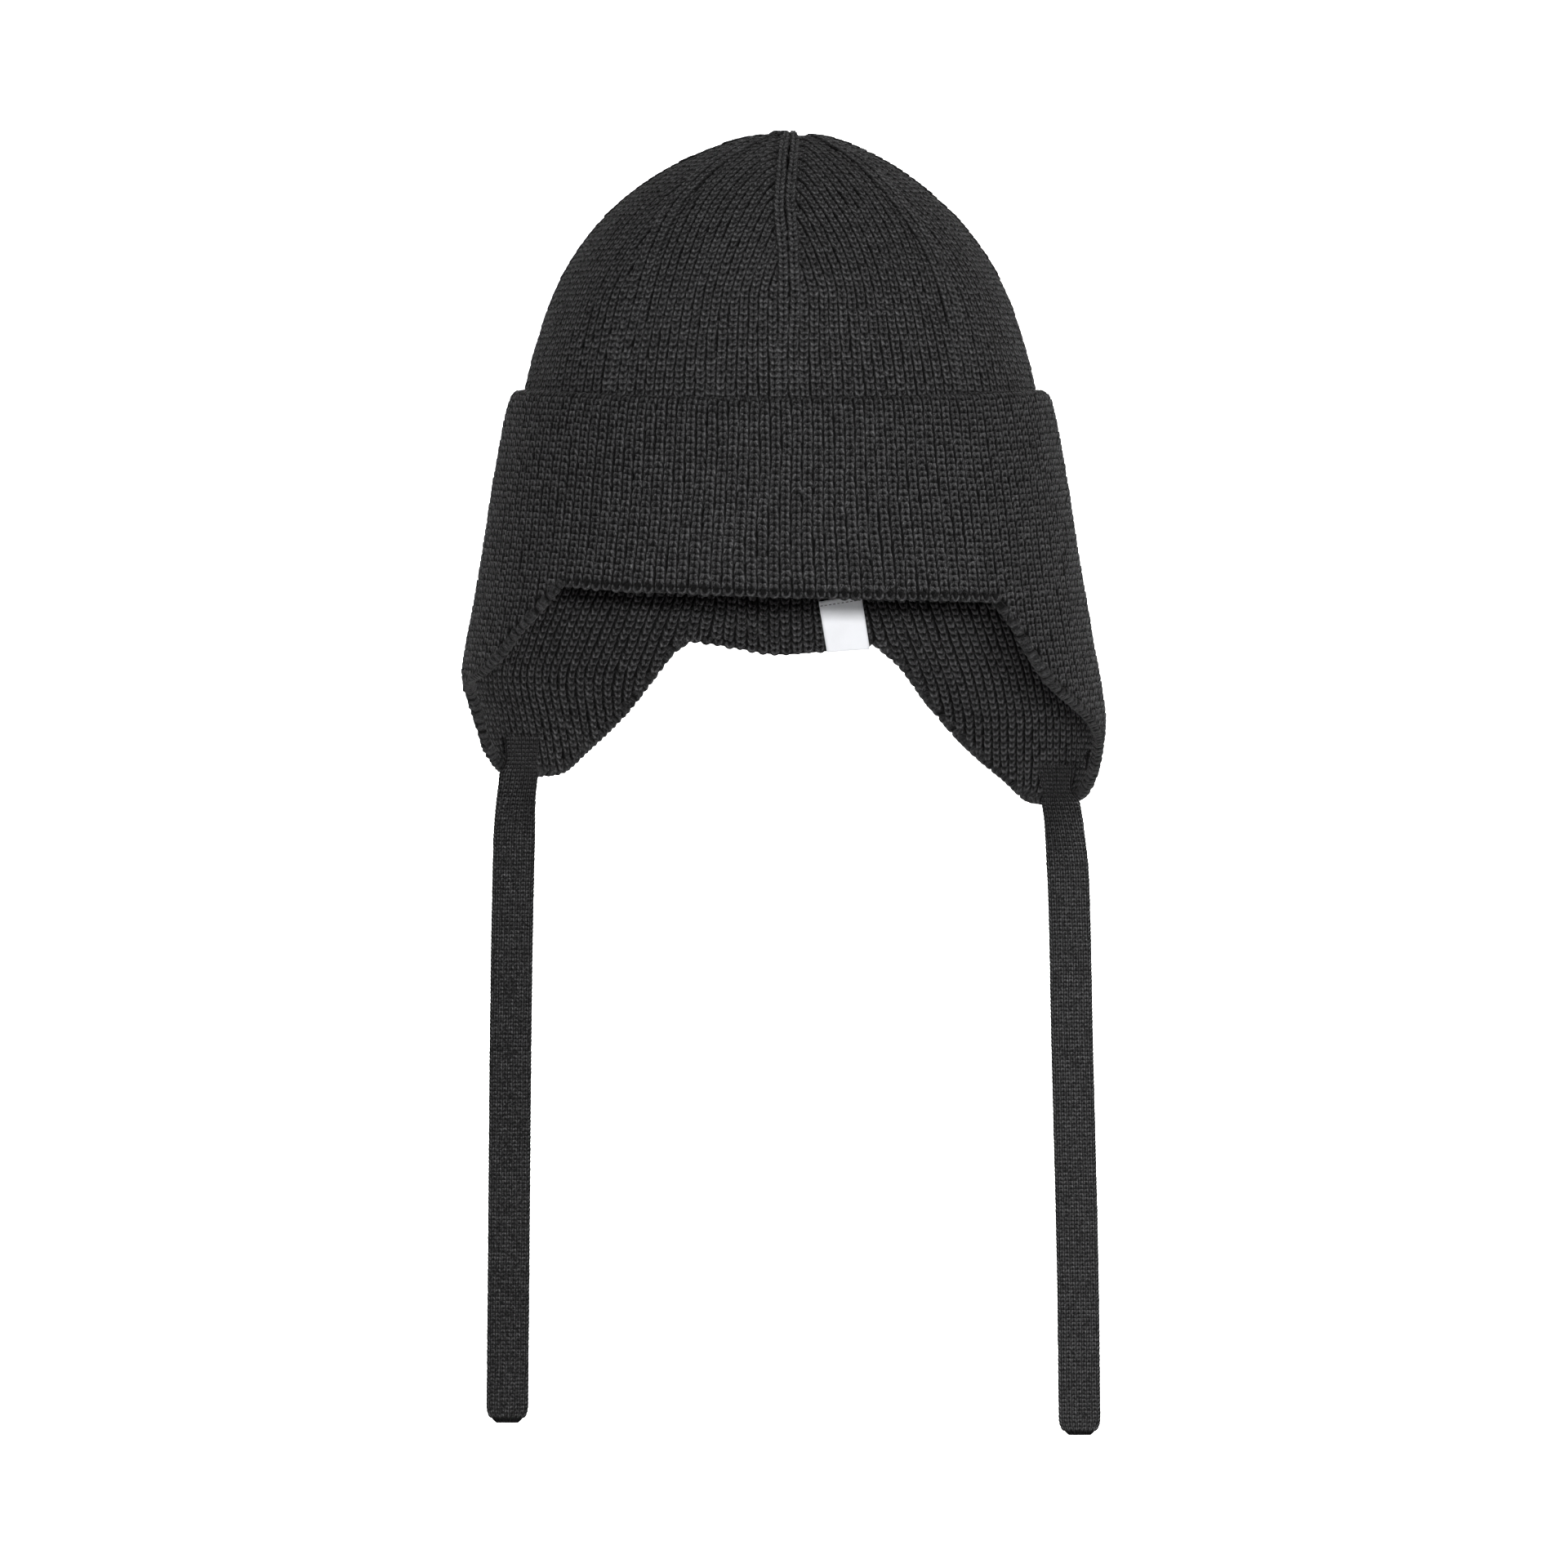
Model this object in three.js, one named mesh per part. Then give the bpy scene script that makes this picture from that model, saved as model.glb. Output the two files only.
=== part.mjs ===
// Baby hat of heavy knit: gathered crown, deep turned cuff, two ear flaps with hanging ties, small label.
// Millimetres, +Z up, front towards -Y. The origin is where the head meets the inside of the crown's top.
// Azimuth is measured from the front, positive towards +X. Depth is measured down from the crown's outer top.
import * as THREE from 'three';

const CROWN_WALL = 2.4;
const CUFF_WALL = 4.0;
const CUFF_HEM_WALL = 3.2;
const FLAP_WALL = 3.0;
const FLAP_HEM_WALL = 2.6;
const SEAM_GAP = 0.3;

// The plan of the hat at any depth is a rounded square-ish oval, a little deeper than it is wide.
const PLAN_SQUARENESS = 2.3;
const DEPTH_TO_WIDTH = 1.05;

const CROWN_END = 104;
const CUFF_TOP_AT_SIDES = 66.4;
const CUFF_TOP_DROP = 3.4;
const FOLD_RADIUS = 2.0;
const GATHER_DIP = 0.9;
const GATHER_RADIUS = 5.5;

// Eight decrease lines sink into the crown between its gores.
const DECREASE_AZIMUTHS = [-135, -90, -37, 2, 44, 90, 135, 180];
const DECREASE_SINK = 1.1;
const DECREASE_HALF_WIDTH = 9;
const DECREASE_END = 42;

// Outline of the crown seen from the front.
const CROWN_OUTLINE = {
  depth: [0, 1.7, 4.2, 8, 16.4, 24.8, 37.4, 50, 65.5, 80, 106],
  half: [0, 11.6, 18.6, 26.6, 39, 47.5, 56, 61.3, 65.5, 67.6, 71.4],
};

// Outline of the cuff and the flaps seen from the front: each side and the front-to-back size have their own.
const CUFF_DEPTHS = [66, 71, 83.6, 96.2, 108.8, 121.4];
const CUFF_HALVES = [68.7, 70.3, 72.8, 74.9, 76.8, 79];
const LEFT_OUTLINE = {
  depth: [...CUFF_DEPTHS, 131, 139, 150, 158, 168],
  half: [...CUFF_HALVES, 80.8, 81.9, 79.6, 77.6, 74.6],
};
const RIGHT_OUTLINE = {
  depth: [...CUFF_DEPTHS, 131, 141, 151, 160, 167, 176],
  half: [...CUFF_HALVES, 80.6, 82.4, 83.7, 82.9, 81.2, 77],
};
const LENGTHWISE_OUTLINE = {
  depth: [...CUFF_DEPTHS, 131, 141, 150, 160, 174],
  half: [...CUFF_HALVES, 80.7, 82, 81, 79, 75],
};

// The flaps curl in towards the neck at their back lower corner.
const CURL = { most: 6, fromAzimuth: 100, overAzimuth: 42, fromDepth: 136, overDepth: 28 };

// Rim of the cuff across the front and the back, and the line where the flaps hang from it.
const FRONT_RIM = { azimuth: [-42.5, -28, -16, 0, 21, 41], depth: [117.2, 118.8, 119.4, 120.4, 120.9, 121.2] };
const BACK_RIM = { azimuth: [163, 172, 180, 188, 196], depth: [131.3, 132.8, 133.6, 132, 130] };
const SEAM_RISE = 2.4;
const STEP_AZIMUTH = 0.9;

// Free edge of each flap, from its front root round the tip to its back root.
const LEFT_EDGE = {
  azimuth: [43, 48, 54, 59.5, 66, 80, 90, 95, 98.5, 103, 108, 116, 127, 137.5, 149.5, 157, 160.5, 164],
  depth: [117.2, 123.6, 130.4, 136.4, 140, 142.6, 145.6, 151, 157.4, 162.2, 165, 166, 165.4, 159.2, 149.4, 139.6,
    133.2, 130],
};
const RIGHT_EDGE = {
  azimuth: [41.5, 45, 49, 53.5, 61, 72, 84, 92, 97, 104, 112, 122, 134, 145.5, 153, 158.5, 162.5],
  depth: [121.2, 127, 135.2, 142.4, 148, 153.2, 158.4, 164.4, 168.8, 172, 173.3, 172.6, 165.6, 156, 146.4, 136.4,
    131.4],
};

const TIE = { width: 10.9, sewnWidth: 19.5, sewnLength: 5, thickness: 2.2, untwistOver: 22 };
const LEFT_TIE = {
  side: -1, sewnDepth: 155.4, leaveDepth: 164.4, endDepth: 333,
  depth: [154, 165, 172, 190, 232, 290, 333],
  across: [-67.6, -67.7, -68.3, -68.9, -69.6, -70.1, -70.5],
};
const RIGHT_TIE = {
  side: 1, sewnDepth: 162.8, leaveDepth: 171.6, endDepth: 336,
  depth: [162, 171, 178, 196, 232, 300, 336],
  across: [71.8, 72.3, 73.2, 74.4, 75.2, 76.8, 77.2],
};

const LABEL = { width: 11.3, top: 119.6, bottom: 133, topAcross: 15.6, bottomAcross: 17.8, thickness: 0.8 };

const toRadians = (degrees) => (degrees * Math.PI) / 180;
const clamp = (value, low, high) => Math.min(high, Math.max(low, value));
const blend = (from, to, share) => from + (to - from) * share;
const ease = (share) => {
  const s = clamp(share, 0, 1);
  return s * s * (3 - 2 * s);
};

// A smooth curve through a table that never overshoots its rows.
function curve(xs, ys) {
  const rise = xs.slice(1).map((x, i) => (ys[i + 1] - ys[i]) / (x - xs[i]));
  const slope = xs.map((x, i) => {
    if (i === 0) return rise[0];
    if (i === xs.length - 1) return rise[i - 1];
    if (rise[i - 1] * rise[i] <= 0) return 0;
    const before = xs[i] - xs[i - 1];
    const after = xs[i + 1] - xs[i];
    const near = 2 * after + before;
    const far = after + 2 * before;
    return (near + far) / (near / rise[i - 1] + far / rise[i]);
  });
  return (at) => {
    const x = clamp(at, xs[0], xs[xs.length - 1]);
    let i = 0;
    while (i < xs.length - 2 && x > xs[i + 1]) i += 1;
    const h = xs[i + 1] - xs[i];
    const t = (x - xs[i]) / h;
    const u = 1 - t;
    return (1 + 2 * t) * u * u * ys[i] + t * u * u * h * slope[i]
      + t * t * (3 - 2 * t) * ys[i + 1] - t * t * u * h * slope[i + 1];
  };
}

const crownByRoot = curve(CROWN_OUTLINE.depth.map(Math.sqrt), CROWN_OUTLINE.half);
const crownHalf = (depth) => crownByRoot(Math.sqrt(Math.max(0, depth)));
const leftHalf = curve(LEFT_OUTLINE.depth, LEFT_OUTLINE.half);
const rightHalf = curve(RIGHT_OUTLINE.depth, RIGHT_OUTLINE.half);
const lengthHalf = curve(LENGTHWISE_OUTLINE.depth, LENGTHWISE_OUTLINE.half);
const frontRim = curve(FRONT_RIM.azimuth, FRONT_RIM.depth);
const backRim = curve(BACK_RIM.azimuth, BACK_RIM.depth);
const leftEdge = curve(LEFT_EDGE.azimuth, LEFT_EDGE.depth);
const rightEdge = curve(RIGHT_EDGE.azimuth, RIGHT_EDGE.depth);

const toHeight = (depth) => CROWN_WALL - depth;

// The cuff's top edge dips in front and behind.
const cuffTop = (azimuth) => CUFF_TOP_AT_SIDES + CUFF_TOP_DROP * Math.cos(toRadians(azimuth)) ** 2;

// A point of the oval plan at an azimuth, and the outward direction there.
function planPoint(azimuth, half, length) {
  const s = Math.sin(toRadians(azimuth));
  const c = Math.cos(toRadians(azimuth));
  const reach = (Math.abs(c) ** PLAN_SQUARENESS + Math.abs(s) ** PLAN_SQUARENESS) ** (-1 / PLAN_SQUARENESS);
  return [half * reach * s, -length * reach * c];
}

function planOutward(azimuth, half, length) {
  const s = Math.sin(toRadians(azimuth));
  const c = Math.cos(toRadians(azimuth));
  const x = (Math.sign(s) * Math.abs(s) ** (PLAN_SQUARENESS - 1)) / half;
  const y = (-Math.sign(c) * Math.abs(c) ** (PLAN_SQUARENESS - 1)) / length;
  const size = Math.hypot(x, y);
  return [x / size, y / size];
}

// The outer face of cuff and flaps, moved inwards by a distance.
function bandPoint(azimuth, depth, inwards) {
  const half = Math.sin(toRadians(azimuth)) < 0 ? leftHalf(depth) : rightHalf(depth);
  const length = lengthHalf(depth) * DEPTH_TO_WIDTH;
  const [x, y] = planPoint(azimuth, half, length);
  const [outX, outY] = planOutward(azimuth, half, length);
  const turned = Math.abs(((azimuth + 540) % 360) - 180);
  const curl = CURL.most * ease((turned - CURL.fromAzimuth) / CURL.overAzimuth)
    * ease((depth - CURL.fromDepth) / CURL.overDepth);
  return [x - (curl + inwards) * outX, y - (curl + inwards) * outY, toHeight(depth)];
}

// How far a decrease line pulls the crown in, at an azimuth and depth.
function decreaseSink(azimuth, depth) {
  const fade = ease(depth / 5) * (1 - ease((depth - 8) / (DECREASE_END - 8)));
  const nearest = Math.min(...DECREASE_AZIMUTHS.map((line) => {
    const away = Math.abs(azimuth - line) % 360;
    return Math.min(away, 360 - away);
  }));
  return DECREASE_SINK * fade * (1 - ease(nearest / DECREASE_HALF_WIDTH));
}

// A point of the crown's wall: its outer outline moved inwards along the slope of that outline.
function crownPoint(azimuth, depth, inwards) {
  const step = 0.4;
  const low = Math.max(0.05, depth - step);
  const slope = (crownHalf(depth + step) - crownHalf(low)) / (depth + step - low);
  const size = Math.hypot(1, slope);
  const half = crownHalf(depth) - inwards / size;
  const [x, y] = planPoint(azimuth, half, half * DEPTH_TO_WIDTH);
  return [x, y, toHeight(depth + (inwards * slope) / size)];
}

// Closed skin over a grid of points. Rows are loops; either the rows close on themselves or both ends are capped.
function solid(name, grid, rowsClose, colour, roughness) {
  const rows = grid.length;
  const count = grid[0].length;
  const points = grid.flat();
  const faces = [];
  const bands = rowsClose ? rows : rows - 1;
  for (let r = 0; r < bands; r += 1) {
    for (let c = 0; c < count; c += 1) {
      const a = r * count + c;
      const b = r * count + ((c + 1) % count);
      const d = ((r + 1) % rows) * count + c;
      const e = ((r + 1) % rows) * count + ((c + 1) % count);
      faces.push([a, b, e], [a, e, d]);
    }
  }
  if (!rowsClose) {
    const cap = (row, turn) => {
      const middle = [0, 1, 2].map((k) => grid[row].reduce((sum, p) => sum + p[k], 0) / count);
      points.push(middle);
      for (let c = 0; c < count; c += 1) {
        const a = row * count + c;
        const b = row * count + ((c + 1) % count);
        faces.push(turn ? [points.length - 1, a, b] : [points.length - 1, b, a]);
      }
    };
    cap(0, false);
    cap(rows - 1, true);
  }
  let volume = 0;
  const at = points.map((p) => new THREE.Vector3(...p));
  faces.forEach(([a, b, c]) => {
    volume += at[a].dot(new THREE.Vector3().crossVectors(at[b], at[c]));
  });
  const outward = volume > 0 ? faces : faces.map(([a, b, c]) => [a, c, b]);
  const geometry = new THREE.BufferGeometry();
  geometry.setAttribute('position', new THREE.Float32BufferAttribute(points.flat(), 3));
  geometry.setIndex(outward.flat());
  geometry.computeVertexNormals();
  const mesh = new THREE.Mesh(geometry, new THREE.MeshStandardMaterial({ color: colour, roughness }));
  mesh.name = name;
  return mesh;
}

const YARN = 0x3a3a3c;
const YARN_ROUGHNESS = 0.95;
const range = (from, to, count) => Array.from({ length: count }, (_, i) => blend(from, to, i / (count - 1)));
const AROUND = Array.from({ length: 72 }, (_, i) => i * 5 - 180);

function makeCrown() {
  const outerDepths = [2.0, 4.2, 7.5, 12, 18, 26, 36, 48, 60, 74, 90, CROWN_END - 1];
  const innerDepths = [CROWN_END - 1, 84, 64, 46, 32, 20, 11, 5.5, 2.0, 0.5];
  const rows = [];
  const ring = (half, depth) => AROUND.map((azimuth) => {
    const [x, y] = planPoint(azimuth, half, half * DEPTH_TO_WIDTH);
    return [x, y, toHeight(depth)];
  });
  rows.push(ring(1.2, GATHER_DIP));
  rows.push(ring(GATHER_RADIUS * 0.6, GATHER_DIP * 0.6));
  rows.push(ring(GATHER_RADIUS, 0.25));
  rows.push(ring(GATHER_RADIUS * 1.5, 0.6));
  outerDepths.forEach((depth) => {
    rows.push(AROUND.map((azimuth) => crownPoint(azimuth, depth, decreaseSink(azimuth, depth))));
  });
  rows.push(AROUND.map((azimuth) => crownPoint(azimuth, CROWN_END, CROWN_WALL * 0.3)));
  rows.push(AROUND.map((azimuth) => crownPoint(azimuth, CROWN_END, CROWN_WALL * 0.7)));
  innerDepths.forEach((depth) => {
    rows.push(AROUND.map((azimuth) => crownPoint(azimuth, depth, CROWN_WALL)));
  });
  rows.push(ring(1.2, CROWN_WALL));
  return solid('crown', rows, false, YARN, YARN_ROUGHNESS);
}

// Lower edge of the cuff: the rim in front and behind, and the seam of a flap in between.
const seamDepth = (side, azimuth) => {
  const edge = side < 0 ? LEFT_EDGE : RIGHT_EDGE;
  const share = (azimuth - edge.azimuth[0]) / (edge.azimuth.at(-1) - edge.azimuth[0]);
  return blend(edge.depth[0], edge.depth.at(-1), share) - SEAM_RISE;
};

function cuffColumns() {
  const columns = [];
  const add = (azimuth, lowest, hem) => columns.push({ azimuth, lowest, hem });
  range(-LEFT_EDGE.azimuth[0] + STEP_AZIMUTH, RIGHT_EDGE.azimuth[0] - STEP_AZIMUTH, 18)
    .forEach((azimuth) => add(azimuth, frontRim(azimuth), 1));
  range(RIGHT_EDGE.azimuth[0], RIGHT_EDGE.azimuth.at(-1), 25)
    .forEach((azimuth) => add(azimuth, seamDepth(1, azimuth), 0));
  range(RIGHT_EDGE.azimuth.at(-1) + STEP_AZIMUTH, 360 - LEFT_EDGE.azimuth.at(-1) - STEP_AZIMUTH, 9)
    .forEach((azimuth) => add(azimuth, backRim(azimuth), 1));
  range(360 - LEFT_EDGE.azimuth.at(-1), 360 - LEFT_EDGE.azimuth[0], 25)
    .forEach((azimuth) => add(azimuth, seamDepth(-1, 360 - azimuth), 0));
  return columns;
}

function makeCuff() {
  const columns = cuffColumns();
  const outerSteps = [0.06, 0.2, 0.4, 0.6, 0.8, 0.94];
  const innerSteps = [0.92, 0.7, 0.4, 0.12];
  const wallAt = (share) => blend(CUFF_WALL, CUFF_HEM_WALL, share);
  const row = (place) => columns.map((column) => {
    const { azimuth, lowest } = column;
    const [share, inwards, down] = place(column);
    return bandPoint(azimuth, blend(cuffTop(azimuth) + FOLD_RADIUS, lowest, share) + down, inwards);
  });
  const innerGap = (azimuth, depth) => {
    const outer = bandPoint(azimuth, depth, 0);
    const crown = crownPoint(azimuth, depth, -SEAM_GAP);
    return Math.hypot(outer[0] - crown[0], outer[1] - crown[1]);
  };
  const innerAt = (column, share) => {
    const depth = blend(cuffTop(column.azimuth) + FOLD_RADIUS, column.lowest, share);
    const fits = innerGap(column.azimuth, Math.min(depth, CROWN_END + 1));
    return depth > CROWN_END + 2 ? wallAt(share) : Math.min(fits, wallAt(share) + 1.5);
  };
  const grid = [];
  outerSteps.forEach((share) => grid.push(row(() => [share, 0, 0])));
  grid.push(row((column) => [1, column.hem * 0.35 * CUFF_HEM_WALL, 0]));
  grid.push(row((column) => [1, CUFF_HEM_WALL * (1 - column.hem * 0.35), 0]));
  innerSteps.forEach((share) => grid.push(row((column) => [share, innerAt(column, share), 0])));
  [0.95, 0.72, 0.4, 0.12].forEach((across) => {
    const rise = FOLD_RADIUS * Math.sqrt(1 - (2 * across - 1) ** 2) - 0.1;
    grid.push(row((column) => [0, 0.25 + across * (innerAt(column, 0) - 0.25), -rise]));
  });
  return solid('cuff', grid, true, YARN, YARN_ROUGHNESS);
}

function makeFlap(name, side) {
  const edge = side < 0 ? LEFT_EDGE : RIGHT_EDGE;
  const edgeDepth = side < 0 ? leftEdge : rightEdge;
  const gapAzimuth = 0.3;
  const first = edge.azimuth[0] + gapAzimuth;
  const end = edge.azimuth.at(-1) - gapAzimuth;
  const stations = range(0, 1, 30).map((s) => blend(first, end, s));
  const outerSteps = [0, 0.2, 0.42, 0.64, 0.86];
  const grid = stations.map((azimuth) => {
    const top = seamDepth(side, azimuth) + SEAM_GAP;
    const low = Math.max(edgeDepth(azimuth), top + SEAM_RISE - SEAM_GAP);
    const wallAt = (share) => blend(CUFF_HEM_WALL, FLAP_WALL, share);
    const at = (share, inwards) => bandPoint(side * azimuth, blend(top, low, share), inwards);
    const loop = outerSteps.map((share) => at(share, 0));
    loop.push(at(0.96, 0.2 * FLAP_HEM_WALL), at(1, 0.5 * FLAP_HEM_WALL), at(0.96, 0.85 * FLAP_WALL));
    [...outerSteps].reverse().forEach((share) => loop.push(at(share, wallAt(share))));
    return loop;
  });
  return solid(name, grid, false, YARN, YARN_ROUGHNESS);
}

// The azimuth at which the inner face of a flap lies at a distance across.
function azimuthAcross(across, depth, side, inwards) {
  let low = 90;
  let high = 170;
  for (let i = 0; i < 40; i += 1) {
    const middle = (low + high) / 2;
    const x = Math.abs(bandPoint(side * middle, depth, inwards)[0]);
    if (x > Math.abs(across)) low = middle;
    else high = middle;
  }
  return (low + high) / 2;
}

// Flat band: it lies on the flap's inner face where it is sewn, then hangs and turns to face the front.
function makeTie(name, tie) {
  const { side, sewnDepth, leaveDepth, endDepth } = tie;
  const acrossAt = curve(tie.depth, tie.across);
  const standOff = FLAP_WALL + 0.25 + SEAM_GAP + TIE.thickness / 2;
  const onFlap = (depth, offset, inwards) => {
    const middle = azimuthAcross(acrossAt(depth), depth, side, standOff);
    const degreesPerMm = 180 / (Math.PI * 80);
    return bandPoint(side * (middle - offset * degreesPerMm), depth, inwards);
  };
  const turnStart = sewnDepth + TIE.sewnLength;
  const outerEdge = onFlap(turnStart, TIE.sewnWidth / 2, standOff);
  const innerEdge = onFlap(turnStart, -TIE.sewnWidth / 2, standOff);
  const sewnTurn = Math.atan2(Math.abs(outerEdge[1] - innerEdge[1]), Math.abs(outerEdge[0] - innerEdge[0]));
  const depths = [
    sewnDepth, sewnDepth + 2.5, turnStart - 1,
    ...range(turnStart, turnStart + TIE.untwistOver, 12),
    ...range(turnStart + TIE.untwistOver + 12, endDepth - 5, 10),
    endDepth - 3, endDepth - 1.4, endDepth - 0.5, endDepth,
  ];
  const grid = depths.map((depth) => {
    const hang = ease((depth - turnStart + 1) / 6);
    const turn = sewnTurn * (1 - ease((depth - turnStart) / TIE.untwistOver));
    const nearEnd = endDepth - depth;
    const corner = nearEnd < 5 ? Math.sqrt(Math.max(0, 1 - (1 - nearEnd / 5) ** 2)) : 1;
    const seenWidth = TIE.width - 0.8 * TIE.thickness * Math.sin(turn);
    const fullHalf = Math.min(TIE.sewnWidth, seenWidth / Math.cos(turn)) / 2;
    const halfWidth = fullHalf * (0.3 + 0.7 * corner);
    const pivot = onFlap(Math.min(depth, leaveDepth), TIE.sewnWidth / 2, standOff);
    const loop = [];
    const place = (offset, through) => {
      const on = onFlap(Math.min(depth, leaveDepth), offset, standOff + through);
      const x = acrossAt(depth) + side * (offset * Math.cos(turn) - through * Math.sin(turn));
      const y = pivot[1] + (fullHalf - offset) * Math.sin(turn) - through * Math.cos(turn);
      return [blend(on[0], x, hang), blend(on[1], y, hang), toHeight(depth)];
    };
    const t = TIE.thickness / 2;
    [-0.94, -0.5, 0, 0.5, 0.94].forEach((f) => loop.push(place(f * halfWidth, -t)));
    loop.push(place(halfWidth, 0));
    [0.94, 0.5, 0, -0.5, -0.94].forEach((f) => loop.push(place(f * halfWidth, t)));
    loop.push(place(-halfWidth, 0));
    return loop;
  });
  return solid(name, grid, false, YARN, YARN_ROUGHNESS);
}

// Small woven tab, sewn at its top to the inner face of the back.
function makeLabel() {
  const depths = range(LABEL.top, LABEL.bottom, 6);
  const grid = depths.map((depth, i) => {
    const middle = blend(LABEL.topAcross, LABEL.bottomAcross, i / 5);
    const off = CUFF_HEM_WALL + 0.2 + SEAM_GAP + 0.9 * ease(i / 5);
    const place = (offset, through) => {
      const behind = bandPoint(180, depth, off)[1];
      const bowed = ((middle + offset) ** 2) / 260;
      return [middle + offset, behind - bowed - through, toHeight(depth)];
    };
    const w = LABEL.width / 2;
    const t = LABEL.thickness;
    return [
      place(-w, 0), place(-w / 3, 0), place(w / 3, 0), place(w, 0),
      place(w, t), place(w / 3, t), place(-w / 3, t), place(-w, t),
    ];
  });
  return solid('label', grid, false, 0xebecf0, 0.6);
}

const hat = new THREE.Group();
hat.name = 'baby_hat';
hat.add(makeCrown());
hat.add(makeCuff());
hat.add(makeFlap('ear_flap_left', -1));
hat.add(makeFlap('ear_flap_right', 1));
hat.add(makeTie('tie_left', LEFT_TIE));
hat.add(makeTie('tie_right', RIGHT_TIE));
hat.add(makeLabel());

export default hat;
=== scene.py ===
"""Dresses the baby hat of heavy knit.

Every stitch is a mesh of two plump yarn legs. A piece of knit is described by a fabric map: a function that turns
a column number and a row number into a point of the hat's outer or inner face, in millimetres. The legs are drawn
once in fractions of a column and a row and are then laid through that map for all stitches at once, so that ribs,
decrease lines, the rolled fold and the hanging bands follow the form.

The form itself is the same as the solid model's: an oval plan, squarer than an ellipse by one exponent, whose size
at each depth comes from short tables of the outline. Azimuth is measured from the front, positive to the right of
the front view. Depth is measured down from the crown's outer top.
"""

import math
from collections import namedtuple

import bpy
import numpy as np
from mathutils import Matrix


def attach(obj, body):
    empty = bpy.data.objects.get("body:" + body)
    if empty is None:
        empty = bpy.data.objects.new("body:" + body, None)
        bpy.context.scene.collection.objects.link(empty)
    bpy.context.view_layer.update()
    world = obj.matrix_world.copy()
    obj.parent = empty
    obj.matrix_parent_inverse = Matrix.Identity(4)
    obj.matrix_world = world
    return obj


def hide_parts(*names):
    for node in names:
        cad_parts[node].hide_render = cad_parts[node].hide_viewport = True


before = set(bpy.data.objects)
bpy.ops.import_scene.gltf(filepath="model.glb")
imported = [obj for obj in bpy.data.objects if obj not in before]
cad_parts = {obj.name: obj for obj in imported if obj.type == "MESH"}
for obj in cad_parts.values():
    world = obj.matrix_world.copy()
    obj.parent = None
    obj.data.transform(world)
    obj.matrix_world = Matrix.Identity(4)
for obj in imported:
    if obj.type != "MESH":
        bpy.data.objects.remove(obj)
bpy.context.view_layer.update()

MM = 0.001
SEED = 7

# Form of the hat, in millimetres and degrees. Tables give half widths at depths down the hat, and the depth of its
# free edge at azimuths.
CROWN_WALL = 2.4
HEM_WALL = 3.2
HEM_MIDDLE = 1.5
FLAP_WALL = 3.0
PLAN_SQUARENESS = 2.3
DEPTH_TO_WIDTH = 1.05
CROWN_END = 104
TOP_SHIFT = 2.2
CUFF_TOP_AT_SIDES = 66.4
CUFF_TOP_DROP = 3.4
FOLD_RADIUS = 2.0
FRONT_CHAIN, BACK_CHAIN = 2, 180
DECREASE_AZIMUTHS = [-135, -90, -37, FRONT_CHAIN, 44, 90, 135, BACK_CHAIN]
CROWN_DEPTHS = [0, 1.7, 4.2, 8, 16.4, 24.8, 37.4, 50, 65.5, 80, 106]
CROWN_HALVES = [0, 11.6, 18.6, 26.6, 39, 47.5, 56, 61.3, 65.5, 67.6, 71.4]
CUFF_DEPTHS = [66, 71, 83.6, 96.2, 108.8, 121.4]
CUFF_HALVES = [68.7, 70.3, 72.8, 74.9, 76.8, 79]
LEFT_DEPTHS, LEFT_HALVES = [131, 139, 150, 158, 168], [80.8, 81.9, 79.6, 77.6, 74.6]
RIGHT_DEPTHS, RIGHT_HALVES = [131, 141, 151, 160, 167, 176], [80.6, 82.4, 83.7, 82.9, 81.2, 77]
LENGTH_DEPTHS, LENGTH_HALVES = [131, 141, 150, 160, 174], [80.7, 82, 81, 79, 75]
COUNTED_HALF = CUFF_HALVES[3]
CURL_MOST, CURL_AZIMUTH, CURL_DEPTH = 6, (100, 42), (136, 28)
FLAP_START, FLAP_END, FLAP_RADIUS = 42, 163, 80
FLAP_WALL_DEPTH, FLAP_WALL_FADE = 122, 14
BOUND_MIDDLE, BOUND_HALF, BOUND_FADE = 103, 59, 3
FRONT_RIM = ([-42.5, -28, -16, 0, 21, 41], [117.2, 118.8, 119.4, 120.4, 120.9, 121.2])
BACK_RIM = ([163, 172, 180, 188, 196], [131.3, 132.8, 133.6, 132, 130])
LEFT_EDGE = (
    [43, 48, 54, 59.5, 66, 80, 90, 95, 98.5, 103, 108, 116, 127, 137.5, 149.5, 157, 160.5, 164],
    [117.2, 123.6, 130.4, 136.4, 140, 142.6, 145.6, 151, 157.4, 162.2, 165, 166, 165.4, 159.2, 149.4,
     139.6, 133.2, 130],
)
RIGHT_EDGE = (
    [41.5, 45, 49, 53.5, 61, 72, 84, 92, 97, 104, 112, 122, 134, 145.5, 153, 158.5, 162.5],
    [121.2, 127, 135.2, 142.4, 148, 153.2, 158.4, 164.4, 168.8, 172, 173.3, 172.6, 165.6, 156, 146.4,
     136.4, 131.4],
)
TIE_WIDTH, TIE_THICKNESS, TIE_SEWN_WIDTH, TIE_SEWN_LENGTH = 10.9, 2.2, 19.5, 5
TIE_GAP, TIE_UNTWIST, TIE_TIP = 0.55, 22, 5

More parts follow.
